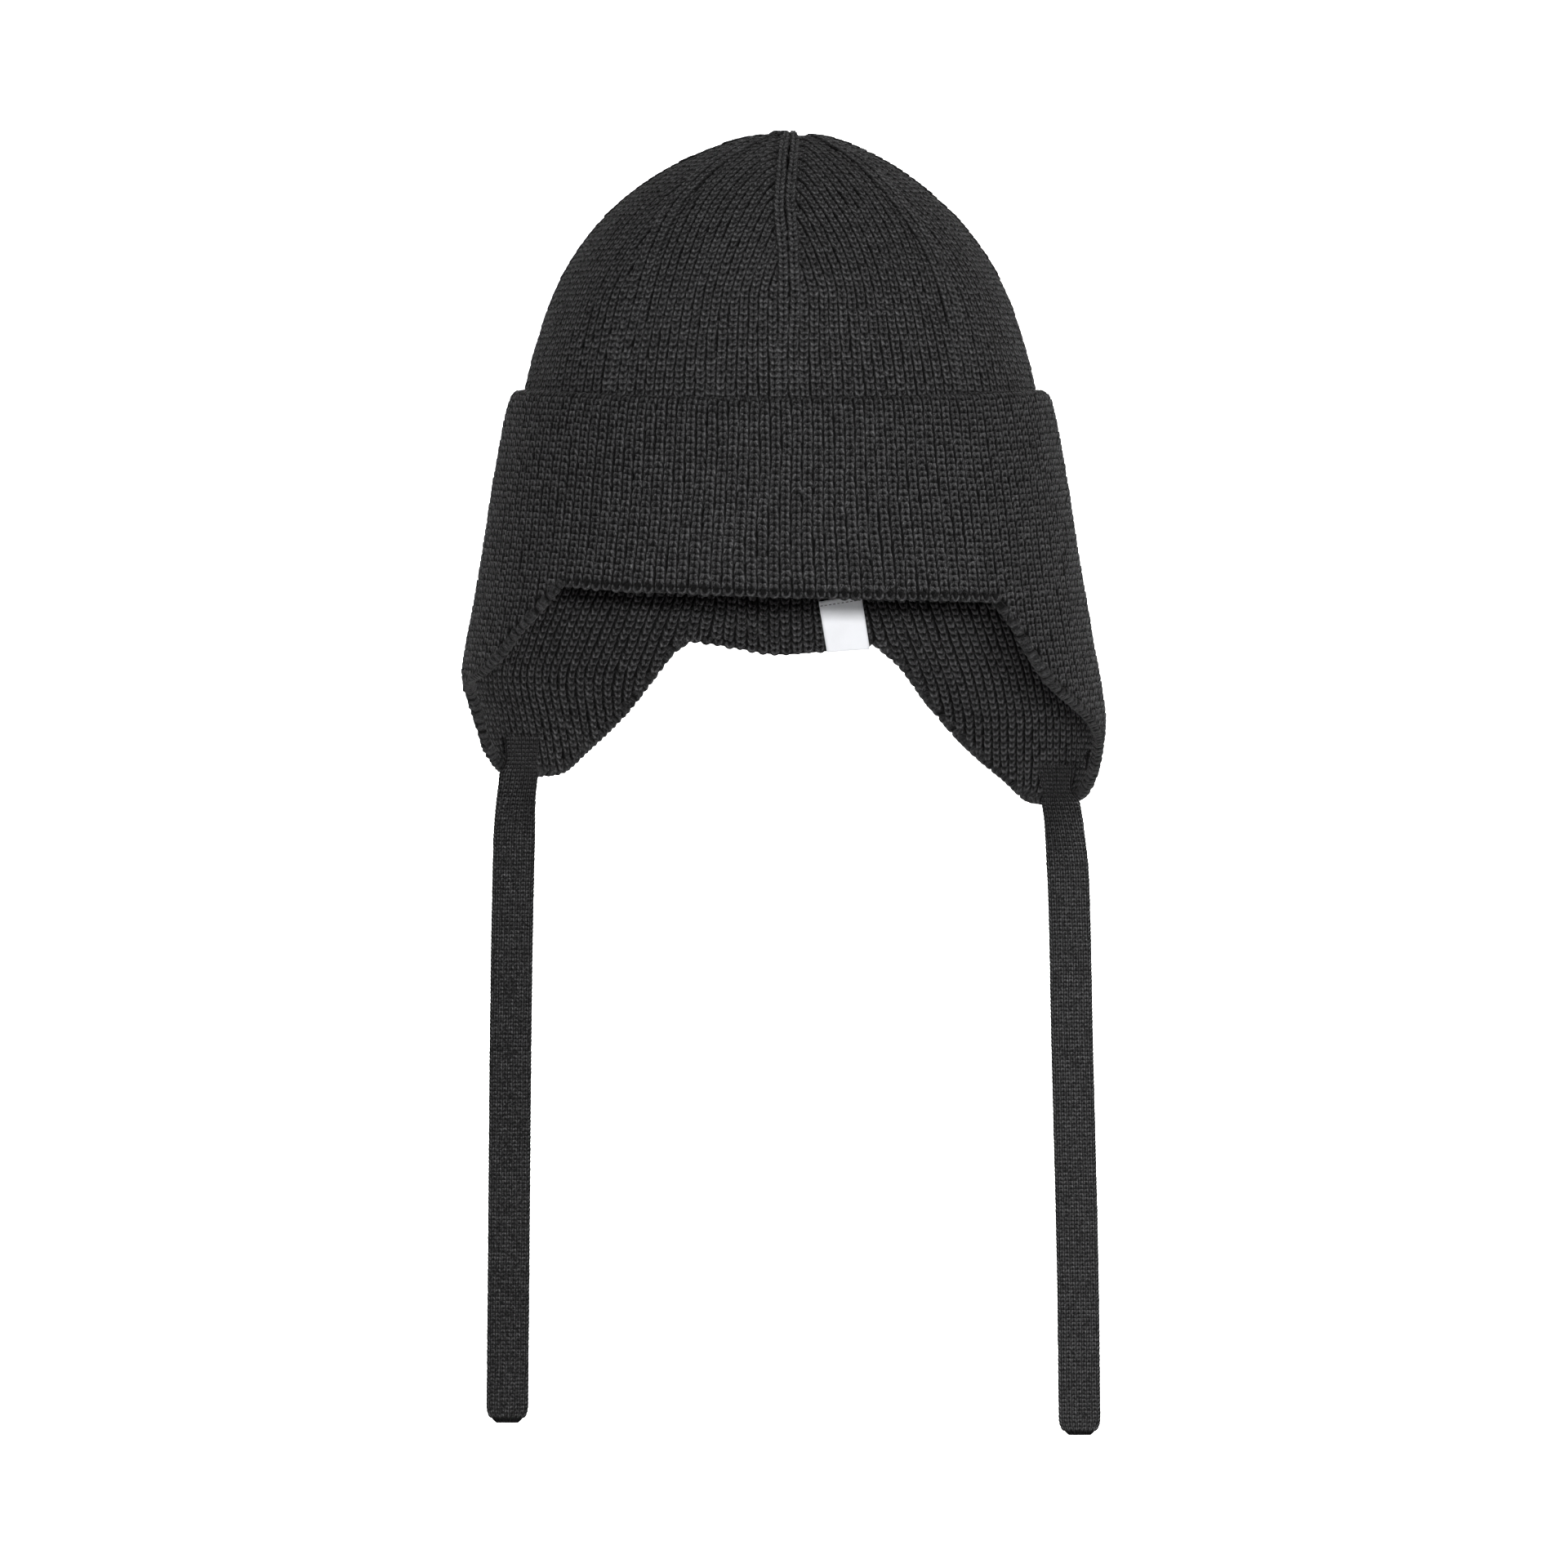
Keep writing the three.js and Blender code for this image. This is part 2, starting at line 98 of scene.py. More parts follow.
# Each band by its side of the hat: the depths of its sewn end, of the flap's tip where it hangs free and of its own
# tip, and how far across its middle lies at depths down it. Its shade is painted light: the right band is painted
# lighter and the left one darker, as the light falls from the right.
TIES = {
    "left": dict(side=-1, shade=-0.9, sewn=155.4, leave=164.4, end=333,
                 depth=[154, 165, 172, 190, 232, 290, 333],
                 across=[-67.6, -67.7, -68.3, -68.9, -69.6, -70.1, -70.5]),
    "right": dict(side=1, shade=0.6, sewn=162.8, leave=171.6, end=336,
                  depth=[162, 171, 178, 196, 232, 300, 336],
                  across=[71.8, 72.3, 73.2, 74.4, 75.2, 76.8, 77.2]),
}
LABEL_WIDTH, LABEL_LENGTH, LABEL_THICKNESS = 11.2, 13.6, 0.44
LABEL_TOP, LABEL_DROP, LABEL_MIDDLE, LABEL_LEAN = 119.0, 13.8, 15.6, 2.2

# Knit, in millimetres: the pitches of columns, rows and yarn wraps, and the height of the stitches over the base
# cloth. A stretch is the share by which ribs are wider at the head's sides, or rows taller near its top. The ribs are
# counted where the cuff has its counted half width.
RIB_PITCH, SIDE_STRETCH = 2.8, 0.4
ROW, TOP_STRETCH = 1.64, 0.45
CROWN_PITCH, SIDE_GORE_PITCH, CHAIN_PITCH = 2.45, 2.75, 2.9
HEM_PITCH = 2.3
TIE_ROW, TIE_WALE, TIE_WALES = 1.04, 1.3, 18
STITCH_HEIGHT = 1.0
INNER_LEAN = 0.22
OUTER_RIM_ROW, INNER_RIM_ROW, INNER_STILL_ROW, RIM_ROWS_APART = 31, 10, 12, 7
DECREASE_DEPTH, CROWN_KNIT_END = 42.0, 73.5
CROWN_ROWS = np.arange(1, 68) + 0.5

# The crown's gores, each from one decrease line to the next: where its guide line lies, as a share of the way from
# its middle to its edge, and the pitch of its columns.
GORES = [
    (0.0, SIDE_GORE_PITCH), (0.1, SIDE_GORE_PITCH), (-0.75, CROWN_PITCH), (0.5, CROWN_PITCH),
    (-0.1, SIDE_GORE_PITCH), (0.0, SIDE_GORE_PITCH), (-0.6, CROWN_PITCH), (0.6, CROWN_PITCH),
]


def curve(xs, ys):
    """A smooth curve through a table, which never overshoots its rows: cubic pieces with limited slopes."""
    xs, ys = np.asarray(xs, float), np.asarray(ys, float)
    h = np.diff(xs)
    rise = np.diff(ys) / h
    slope = np.zeros(len(xs))
    slope[0], slope[-1] = rise[0], rise[-1]
    near, far = 2 * h[1:] + h[:-1], h[1:] + 2 * h[:-1]
    same = rise[:-1] * rise[1:] > 0
    safe = np.where(same, rise[:-1], 1), np.where(same, rise[1:], 1)
    slope[1:-1] = np.where(same, (near + far) / (near / safe[0] + far / safe[1]), 0)

    def at(x):
        x = np.clip(x, xs[0], xs[-1])
        i = np.clip(np.searchsorted(xs, x, side="right") - 1, 0, len(xs) - 2)
        t = (x - xs[i]) / h[i]
        u = 1 - t
        return ((1 + 2 * t) * u * u * ys[i] + t * u * u * h[i] * slope[i]
                + t * t * (3 - 2 * t) * ys[i + 1] - t * t * u * h[i] * slope[i + 1])

    return at


def running(steps):
    """The sum of the steps so far, before the first and after each."""
    return np.concatenate([[0], np.cumsum(steps)])


def unit(vectors):
    """The vectors, each made 1 long."""
    return vectors / np.linalg.norm(vectors, axis=-1)[..., None]


def ease(share):
    """A smooth rise from 0 to 1, level at both ends: three squares less two cubes."""
    s = np.clip(share, 0, 1)
    return s * s * (3 - 2 * s)


crown_by_root = curve(np.sqrt(CROWN_DEPTHS), CROWN_HALVES)
left_half = curve(CUFF_DEPTHS + LEFT_DEPTHS, CUFF_HALVES + LEFT_HALVES)
right_half = curve(CUFF_DEPTHS + RIGHT_DEPTHS, CUFF_HALVES + RIGHT_HALVES)
length_half = curve(CUFF_DEPTHS + LENGTH_DEPTHS, CUFF_HALVES + LENGTH_HALVES)
front_rim, back_rim = curve(*FRONT_RIM), curve(*BACK_RIM)
left_edge, right_edge = curve(*LEFT_EDGE), curve(*RIGHT_EDGE)


def crown_half(depth):
    """Half width of the crown: its table is read by the depth's square root, so that the top is round."""
    return crown_by_root(np.sqrt(np.maximum(depth, 0)))


def signed(azimuth):
    """Azimuth between -180 and 180."""
    return (np.asarray(azimuth) + 180) % 360 - 180


def lower_edge(azimuth):
    """Depth of the free lower edge all round: front rim, flap edges and back rim."""
    a = signed(azimuth)
    back = np.where(a < 0, a + 360, a)
    out = np.where(np.abs(a) < 90, front_rim(a), back_rim(back))
    (left_from, *_, left_to), (right_from, *_, right_to) = LEFT_EDGE[0], RIGHT_EDGE[0]
    out = np.where((a < -left_from) & (a > -left_to), left_edge(-a), out)
    return np.where((a > right_from) & (a < right_to), right_edge(a), out)


def wall_below(azimuth):
    """Thickness of the wall near its free edge: the hem's on the rims, and the flaps' where the edge hangs lower."""
    return HEM_WALL + (FLAP_WALL - HEM_WALL) * ease((lower_edge(azimuth) - FLAP_WALL_DEPTH) / FLAP_WALL_FADE)


def cuff_top(azimuth):
    """Depth of the cuff's fold, which lies lowest at the front and at the back."""
    return CUFF_TOP_AT_SIDES + CUFF_TOP_DROP * np.cos(np.radians(azimuth)) ** 2


def plan_point(azimuth, half, length):
    """The oval plan: sine and cosine of the azimuth, drawn out until their powers add up to 1, times the half width
    and the half length."""
    s, c = np.sin(np.radians(azimuth)), np.cos(np.radians(azimuth))
    reach = (np.abs(c) ** PLAN_SQUARENESS + np.abs(s) ** PLAN_SQUARENESS) ** (-1 / PLAN_SQUARENESS)
    return half * reach * s, -length * reach * c


def plan_outward(azimuth, half, length):
    """Unit direction out of the oval plan: the slope of those powers."""
    s, c = np.sin(np.radians(azimuth)), np.cos(np.radians(azimuth))
    x = np.sign(s) * np.abs(s) ** (PLAN_SQUARENESS - 1) / half
    y = -np.sign(c) * np.abs(c) ** (PLAN_SQUARENESS - 1) / length
    size = np.hypot(x, y)
    return x / size, y / size


def band_point(azimuth, depth, inwards):
    """The outer face of cuff and flaps, moved inwards by a distance and by the flaps' soft curl."""
    half = np.where(np.sin(np.radians(azimuth)) < 0, left_half(depth), right_half(depth))
    length = length_half(depth) * DEPTH_TO_WIDTH
    x, y = plan_point(azimuth, half, length)
    out_x, out_y = plan_outward(azimuth, half, length)
    curl = (CURL_MOST * ease((np.abs(signed(azimuth)) - CURL_AZIMUTH[0]) / CURL_AZIMUTH[1])
            * ease((depth - CURL_DEPTH[0]) / CURL_DEPTH[1]))
    z = CROWN_WALL - np.asarray(depth, float) + 0 * x
    return np.stack([x - (curl + inwards) * out_x, y - (curl + inwards) * out_y, z], -1)


def crown_point(azimuth, depth, inwards):
    """The crown's outer face, moved inwards along the slope of its outline. Near the top it leans to the right."""
    step, top_half = 0.4, 45
    low = np.maximum(0.05, depth - step)
    slope = (crown_half(depth + step) - crown_half(low)) / (depth + step - low)
    size = np.hypot(1, slope)
    half = crown_half(depth) - inwards / size
    x, y = plan_point(azimuth, half, half * DEPTH_TO_WIDTH)
    x = x + TOP_SHIFT * np.maximum(0, 1 - (half / top_half) ** 2) ** 2
    return np.stack([x, y, CROWN_WALL - (depth + inwards * slope / size) + 0 * x], -1)


def way_round(stretch=0.0):
    """Azimuths, the share of the way round the oval that each one lies at, and the whole way for a half width of 1.
    With a stretch, the way counts for less at the sides of the head, where the ribs are pulled wider."""
    azimuth = np.linspace(-180, 180, 2881)
    x, y = plan_point(azimuth, 1.0, DEPTH_TO_WIDTH)
    middle = np.radians(azimuth[1:] + azimuth[:-1]) / 2
    step = np.hypot(np.diff(x), np.diff(y)) / (1 + stretch * np.sin(middle) ** 4)
    run = running(step)
    return azimuth, run / run[-1], run[-1]


AZIMUTHS, SHARES, ROUND_OF_ONE = way_round()
_, RIB_SHARES, RIB_ROUND = way_round(SIDE_STRETCH)
COLUMNS_ROUND = 2 * round(RIB_ROUND * COUNTED_HALF / RIB_PITCH / 2)


def azimuth_at(share):
    """Azimuth at a share of the way round from the back."""
    whole = np.floor(share)
    return np.interp(share - whole, SHARES, AZIMUTHS) + 360 * whole


def share_at(azimuth):
    """Share of the way round from the back at an azimuth."""
    whole = np.floor((np.asarray(azimuth, float) + 180) / 360)
    return np.interp(azimuth - 360 * whole, AZIMUTHS, SHARES) + whole


def rib_azimuth(column):
    """Azimuth of a place counted in ribs from the back."""
    whole = np.floor(column / COLUMNS_ROUND)
    return np.interp(column / COLUMNS_ROUND - whole, RIB_SHARES, AZIMUTHS) + 360 * whole


def crown_run():
    """Depth as a function of the distance down the crown's outline from its top."""
    depth = np.linspace(0, 1, 4001) ** 2 * 100
    return running(np.hypot(np.diff(depth), np.diff(crown_half(depth)))), depth


RUN, RUN_DEPTH = crown_run()


def row_run():
    """Distance down the crown's outline of each row, the rows being pulled taller towards the top."""
    run = np.linspace(0, 140, 1401)
    pitch = ROW * (1 + TOP_STRETCH * (1 - ease((run - 15) / 42)))
    return running(np.diff(run) / pitch[1:]), run


ROW_NUMBERS, ROW_RUNS = row_run()


def row_depth(rows):
    """Depth of the crown's rows, through their distance down its outline."""
    return np.interp(np.maximum(np.interp(rows, ROW_NUMBERS, ROW_RUNS), 0.05), RUN, RUN_DEPTH)


# Meshes.

def add_mesh(name, points, groups, material, uv, shade, crest):
    """A mesh from whole arrays: points in millimetres, groups of faces of equal length, and for each point its place
    on the yarn, its shade and its crest."""
    mesh = bpy.data.meshes.new(name)
    mesh.vertices.add(len(points))
    mesh.vertices.foreach_set("co", (np.asarray(points) * MM).astype(np.float32).ravel())
    loops = np.concatenate([g.ravel() for g in groups])
    sizes = np.concatenate([np.full(len(g), g.shape[1]) for g in groups])
    starts = running(sizes)[:-1]
    mesh.loops.add(len(loops))
    mesh.loops.foreach_set("vertex_index", loops.astype(np.int32))
    mesh.polygons.add(len(sizes))
    mesh.polygons.foreach_set("loop_start", starts.astype(np.int32))
    mesh.polygons.foreach_set("use_smooth", np.ones(len(sizes), bool))
    mesh.uv_layers.new(name="yarn").data.foreach_set("uv", uv[loops].astype(np.float32).ravel())
    for kind, values in (("shade", shade), ("crest", crest)):
        mesh.attributes.new(kind, "FLOAT", "POINT").data.foreach_set("value", values.astype(np.float32))
    mesh.update(calc_edges=True)
    mesh.validate()
    piece = bpy.data.objects.new(name, mesh)
    bpy.context.scene.collection.objects.link(piece)
    mesh.materials.append(material)
    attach(piece, "root")
    return piece


# Corners of a spindle's rings, in degrees from the side: 90 faces up.
ROUND = tuple(-90 + (k + 0.5) * 72 for k in range(5))
SEEN_FROM_ABOVE = (-8, 60, 120, 188)
SEEN_FROM_OUTSIDE = tuple(range(0, 360, 45))

# Points and faces of a spindle, and for each point the share of the way along, the share of the way round from the
# underside, and its crest: 1 on top of the yarn, 0 below it and at its ends. Where the crest is low the yarn's colour
# is painted in shade.
Spindle = namedtuple("Spindle", "points triangles quads along around crest")

# Turns of the plies round the yarn between a copy whose shade is 0 and one whose shade is 1.
SHADE_TURNS = 7.3


def tube(path, radii, corners=ROUND, squash=1.0, up=(0.0, 0.0, 1.0), bare_below=False):
    """A spindle along a path: rings of corners between two end points. Each corner lies off the path by the ring's
    radius, times the cosine of its turn sideways and the squashed sine upwards. Bare below, it has no faces between
    its last corner and its first."""
    path = np.asarray(path, float)
    rings = len(path) - 2
    tangent = unit(np.gradient(path, axis=0))
    side = unit(np.cross(tangent, np.broadcast_to(up, path.shape)))
    top = np.cross(side, tangent)
    turn = np.radians(corners)
    sides = len(turn)
    size = np.asarray(radii)[:, None, None]
    ring_points = path[1:-1, None] + size * (np.cos(turn)[None, :, None] * side[1:-1, None]
                                             + squash * np.sin(turn)[None, :, None] * top[1:-1, None])
    points = np.concatenate([path[:1], ring_points.reshape(-1, 3), path[-1:]])
    shares = np.linspace(0, 1, rings + 2)
    along = np.concatenate([[0], np.repeat(shares[1:-1], sides), [1]])
    around = np.concatenate([[0.5], np.tile(np.arange(sides) / (sides - 1), rings), [0.5]])
    crest = np.concatenate([[0], np.tile(0.5 + 0.5 * np.sin(turn), rings), [0]])
    k = np.arange(sides - bare_below)
    nxt = (k + 1) % sides
    last = 1 + (rings - 1) * sides
    triangles = np.concatenate([np.stack([0 * k, 1 + nxt, 1 + k], 1),
                                np.stack([0 * k + last + sides, last + k, last + nxt], 1)])
    near = 1 + np.arange(rings - 1)[:, None] * sides
    far = near + sides
    quads = np.stack([near + k, near + nxt, far + nxt, far + k], -1).reshape(-1, 4)
    return Spindle(points, triangles, quads, along, around, crest)


def turned_over(part, scale):
    """The spindle scaled along its three directions, with its faces reversed where the scale mirrors it."""
    way = -1 if np.prod(scale) < 0 else 1
    return part._replace(points=part.points * scale, triangles=part.triangles[:, ::way],
                         quads=part.quads[:, ::way])


def stitch_legs(pitch, row, across, thick, pointed_up=False, groove=0.1, hole=0.0):
    """Two legs of one stitch, in fractions of a column and a row, with height in millimetres over the face.

    Each leg starts blunt and proud near the middle of the column, over the stitch before it, and leans outwards to
    its shoulder, where it dives behind the next stitch. The four distances across are those of its axis at its start,
    its bend, its shoulder and its end. It has three rings of four corners, open below, whose crest is given from the
    side at the groove between two columns to the side at the small hole between the shoulders. The low crest set
    there by the groove and the hole is painted shade in the groove and in the hole.
    """
    start, bend, shoulder, end = across
    path = [[start, -0.76 * row, -1.02 * thick], [bend, -0.5 * row, -0.84 * thick],
            [(bend + shoulder) / 2, -0.08 * row, -0.86 * thick], [shoulder, 0.34 * row, -1.04 * thick],
            [end, 0.8 * row, -1.9 * thick]]
    radii = np.array([1.0, 0.95, 0.82]) * thick
    crest = [0.62,
             groove, 1.0, 1.0, 0.85,
             groove, 1.0, 0.8, hole + 0.1,
             0.4 * groove, 0.8, 0.4, hole,
             0.0]
    leg = tube(path, radii, SEEN_FROM_ABOVE, squash=1.1, bare_below=True)._replace(crest=np.array(crest))
    scale = np.array([1 / pitch, (-1 if pointed_up else 1) / row, 1.0])
    return [turned_over(leg, scale), turned_over(leg, scale * [-1, 1, 1])]


def outward_at(cloth, columns, rows):
    """Unit direction out of a fabric map's face: the cross product of its steps sideways and upwards."""
    step = 0.3
    sideways = cloth(columns + step, rows) - cloth(columns - step, rows)
    upwards = cloth(columns, rows - step) - cloth(columns, rows + step)
    out = np.cross(sideways, upwards)
    return out / np.maximum(np.linalg.norm(out, axis=-1), 1e-9)[..., None]


def copies(part, count, start=0, shade=0.0, wind=0.0):
    """Faces of many copies of a spindle, with vertices numbered from a start, and their places on the yarn, where
    the shade and the wind turn each copy's plies round it."""
    size = len(part.points)
    first = start + size * np.arange(count)[:, None, None]
    place = np.tile(np.stack([part.along, part.around], 1), (count, 1))
    place = place + np.repeat(shade * SHADE_TURNS + wind, size)[:, None] * [0, 1]
    return (part.triangles[None] + first).reshape(-1, 3), (part.quads[None] + first).reshape(-1, 4), place


def knit(name, cloth, columns, rows, legs, material, slot, flip=False, rough=1.0, seed=0, shade=0.0):
    """Lays a stitch at each column and row through the fabric map and makes one mesh of them all.

    Each point of a leg lies on the map at its own column and row, moved along the outward direction by its height.
    A slow wave moves each column sideways, and each stitch has its own small turn, size and shade. Where the knit
    turns away from the front its ribs are slimmer, and its crest is lowered so that the grooves between them are
    painted in deeper shade.
    """
    rng = np.random.default_rng(SEED + seed)
    count = len(columns)
    mirror = -1.0 if flip else 1.0
    wave = 0.1 * np.sin(rows * 0.21 + columns * 0.16) + 0.03 * np.sin(rows * 0.45 + columns * 1.1)
    centre_c = columns + rough * (wave + rng.normal(0, 0.02, count))
    centre_r = rows + rough * (rng.normal(0, 0.03, count) + 0.08 * np.sin(columns * 2.7))
    lift = rough * rng.normal(0, 0.06, count)
    plump = 1 + rough * rng.normal(0, 0.06, count)
    own_shade = rng.uniform(0, 1, count)
    turned = 1 - np.abs(outward_at(cloth, columns, rows)[:, 1])
    sets = []
    for number, leg in enumerate(legs):
        own = plump * (1 + rough * rng.normal(0, 0.05, count))
        slim = own * (1 - 0.24 * turned)
        slip = rough * rng.normal(0, 0.04, count)
        lean = rough * rng.normal(0, 0.04, count)
        across, down, height = leg.points.T
        c = centre_c[:, None] + mirror * (across * slim[:, None] + down * lean[:, None])
        r = centre_r[:, None] - down + slip[:, None]
        out = mirror * outward_at(cloth, c, r)
        points = cloth(c, r) + out * (height * own[:, None] + lift[:, None])[..., None]
        size = len(height)
        faces_and_place = copies(leg, count, number * size * count, own_shade, number * 0.5)
        # A shade given for a whole piece adds painted light to it, lighter or darker as the light falls on that
        # piece.
        leg_shade = shade + np.clip(own_shade + rng.normal(0, 0.12, count), 0, 1)
        # Painted shade: the crest falls where the knit turns away from the front.
        leg_crest = leg.crest ** (1 + turned[:, None])
        sets.append((points.reshape(-1, 3), *faces_and_place, np.repeat(leg_shade, size), leg_crest.ravel()))
    points, triangles, quads, place, shades, crest = (np.concatenate(part) for part in zip(*sets))
    return add_mesh(name, points, [triangles, quads], material, place, shades, crest)


def scatter(name, part, where, material, shade):
    """Many copies of one spindle, each with its own points, as one mesh."""
    triangles, quads, place = copies(part, len(where), shade=shade)
    return add_mesh(name, where.reshape(-1, 3), [triangles, quads], material, place,
                    np.repeat(shade, len(part.points)), np.tile(part.crest, len(where)))


def placed(local, place, sideways, upwards, out):
    """Points of each copy, laid off from its place along its three directions."""
    return (place[:, None] + local[..., :1] * sideways[:, None] + local[..., 1:2] * upwards[:, None]
            + local[..., 2:] * out[:, None])


def skin(name, rows_of_points, material, close_rows=False, caps=False, crest=0.5):
    """A grid of points as a surface: each row is a closed loop; rows may close, or be capped by a fan at each end.
    The faces are turned round where the volume inside them comes out negative."""
    grid = np.asarray(rows_of_points, float)
    rows, count = grid.shape[:2]
    points = grid.reshape(-1, 3)
    r = np.arange(rows if close_rows else rows - 1)[:, None] * count
    c = np.arange(count)
    below, beside = (r + count) % (rows * count), (c + 1) % count
    quads = np.stack([r + c, r + beside, below + beside, below + c], -1).reshape(-1, 4)
    groups = [quads]
    u, v = np.meshgrid(np.arange(count) / count, np.arange(rows) / max(rows - 1, 1))
    uv = np.stack([u.ravel(), v.ravel()], 1)
    if caps:
        last = (rows - 1) * count
        groups.append(np.stack([np.full(count, len(points)), beside, c], 1))
        groups.append(np.stack([np.full(count, len(points) + 1), last + c, last + beside], 1))
        points = np.concatenate([points, np.stack([grid[0].mean(0), grid[-1].mean(0)])])
        uv = np.concatenate([uv, [[0.5, 0], [0.5, 1]]])
    one, two, three, four = (points[quads[:, k]] for k in range(4))
    volume = np.einsum("ij,ij->i", one, np.cross(two, three) + np.cross(three, four)).sum()
    if volume < 0:
        groups = [g[:, ::-1] for g in groups]
    crest = np.broadcast_to(np.ravel(crest), len(points))
    return add_mesh(name, points, groups, material, uv, np.full(len(points), 0.5), crest)


# Materials.

def new_material(name):
    """A new material with its nodes and its shader."""
    material = bpy.data.materials.new(name)
    material.use_nodes = True
    tree = material.node_tree
    shader = tree.nodes["Principled BSDF"]
    return material, tree, shader


def maths(tree, operation, a, b=None):
    """A node that works on one or two numbers or sockets."""
    node = tree.nodes.new("ShaderNodeMath")
    node.operation = operation
    for socket, value in zip(node.inputs, (a, b)):
        if isinstance(value, (int, float)):
            socket.default_value = value
        elif value is not None:
            tree.links.new(value, socket)
    return node.outputs[0]


def total(tree, start, *parts):
    """A starting number plus sockets, each times its own number."""
    for value, times in parts:
        start = maths(tree, "ADD", start, maths(tree, "MULTIPLY", value, times))
    return start


def sine(tree, value, turns=1):
    """A sine wave over a socket, with a number of turns for each 1 of it."""
    return maths(tree, "SINE", maths(tree, "MULTIPLY", value, 2 * math.pi * turns))


def object_place(tree):
    return tree.nodes.new("ShaderNodeTexCoord").outputs["Object"]


def split_place(tree, place):
    """The three numbers of a place."""
    split = tree.nodes.new("ShaderNodeSeparateXYZ")
    tree.links.new(place, split.inputs[0])
    return split.outputs


def yarn_place(tree):
    """The piece's own map: the place along the yarn and the place round it."""
    uv = tree.nodes.new("ShaderNodeUVMap")
    uv.uv_map = "yarn"
    return split_place(tree, uv.outputs[0])[:2]


def attribute(tree, name):
    node = tree.nodes.new("ShaderNodeAttribute")
    node.attribute_name = name
    return node.outputs["Fac"]


def noise(tree, coordinates, scale, detail=2.0, roughness=0.5):
    """Soft random spots between 0 and 1."""
    node = tree.nodes.new("ShaderNodeTexNoise")
    node.inputs["Scale"].default_value = scale
    node.inputs["Detail"].default_value = detail
    node.inputs["Roughness"].default_value = roughness
    tree.links.new(coordinates, node.inputs["Vector"])
    return node.outputs[0]


def paint(tree, shader, colour, level, rough):
    """Gives the shader a colour times a socket, and a roughness that is a number or a socket."""
    node = tree.nodes.new("ShaderNodeVectorMath")
    node.operation = "SCALE"
    node.inputs[0].default_value = colour
    tree.links.new(level, node.inputs["Scale"])
    tree.links.new(node.outputs[0], shader.inputs["Base Color"])
    if isinstance(rough, float):
        shader.inputs["Roughness"].default_value = rough
    else:
        tree.links.new(rough, shader.inputs["Roughness"])


def bump(tree, shader, height, distance):
    """Raises the shader's face by a socket times a distance in metres."""
    node = tree.nodes.new("ShaderNodeBump")
    node.inputs["Strength"].default_value = 1.0
    node.inputs["Distance"].default_value = distance
    tree.links.new(height, node.inputs["Height"])
    tree.links.new(node.outputs[0], shader.inputs["Normal"])


def make_yarn(name, colour, plies):
    """Heathered yarn: its plies wind round it, single fibres fleck it, and each stitch has its own shade. Below the
    crest it sinks into shadow. The plies are counted along a leg and round it."""
    material, tree, shader = new_material(name)
    place = object_place(tree)
    along, around = yarn_place(tree)
    wound = total(tree, 0.0, (along, plies[0]), (around, plies[1]))
    ply = sine(tree, wound)
    fibre_place = tree.nodes.new("ShaderNodeCombineXYZ")
    tree.links.new(maths(tree, "MULTIPLY", wound, 3.2), fibre_place.inputs[0])
    askew = maths(tree, "MULTIPLY", maths(tree, "SUBTRACT", along, around), 1.6)
    tree.links.new(askew, fibre_place.inputs[1])
    fibre = maths(tree, "SUBTRACT", noise(tree, fibre_place.outputs[0], 1.0, 2.0, 0.6), 0.5)
    fleck = noise(tree, place, 1800, 3.0, 0.65)
    blotch = noise(tree, place, 260, 2.0)
    flecks = maths(tree, "SUBTRACT", fleck, 0.5)
    level = total(tree, 0.46, (attribute(tree, "shade"), 0.22), (flecks, 4.8), (blotch, 0.6), (ply, 0.22),
                  (fibre, 3.2))
    crest = maths(tree, "POWER", attribute(tree, "crest"), 4.0)
    lit = total(tree, 0.012, (crest, 1.62))
    level = maths(tree, "MULTIPLY", maths(tree, "MAXIMUM", level, 0.12), lit)
    paint(tree, shader, colour, level, total(tree, 0.78, (fleck, 0.2)))
    shader.inputs["Specular IOR Level"].default_value = 0.12
    shader.inputs["Sheen Weight"].default_value = 0.04
    shader.inputs["Sheen Roughness"].default_value = 0.5
    bump(tree, shader, total(tree, 0.0, (ply, 0.35), (fleck, 1.4), (fibre, 1.2)), 0.00016)
    return material


def make_base_cloth(name, ribs, beads=44):
    """The cloth behind the stitches, in the grooves and inside the crown: dark as painted shade, with soft ribs of
    small beads.
    """
    material, tree, shader = new_material(name)
    across, down = yarn_place(tree)
    rib, bead = sine(tree, across, ribs), sine(tree, down, beads)
    fleck = noise(tree, object_place(tree), 1800, 3.0, 0.6)
    flecks = maths(tree, "SUBTRACT", fleck, 0.5)
    level = maths(tree, "MAXIMUM", total(tree, 0.55, (rib, 0.25), (bead, 0.1), (flecks, 0.6)), 0.1)
    paint(tree, shader, PAINTED_SHADE_CHARCOAL, level, total(tree, 0.85, (fleck, 0.12)))
    shader.inputs["Specular IOR Level"].default_value = 0.15
    bump(tree, shader, total(tree, 0.0, (rib, 1.0), (bead, 0.3), (fleck, 0.6)), 0.0004)
    return material


def make_label_cloth():
    """Fine white satin-woven tape: the sine of its warp times that of its weft, in threads to the metre."""
    material, tree, shader = new_material("label tape")
    warp, weft = 5200, 4700
    place = object_place(tree)
    x, _, z = split_place(tree, place)
    weave = maths(tree, "MULTIPLY", sine(tree, x, warp), sine(tree, z, weft))
    cloudy = noise(tree, place, 260, 3.0)
    level = total(tree, 0.93, (weave, 0.02), (cloudy, 0.1))
    paint(tree, shader, PALE_TAPE, level, total(tree, 0.45, (cloudy, 0.2)))
    shader.inputs["Sheen Weight"].default_value = 0.15
    bump(tree, shader, weave, 0.000008)
    return material
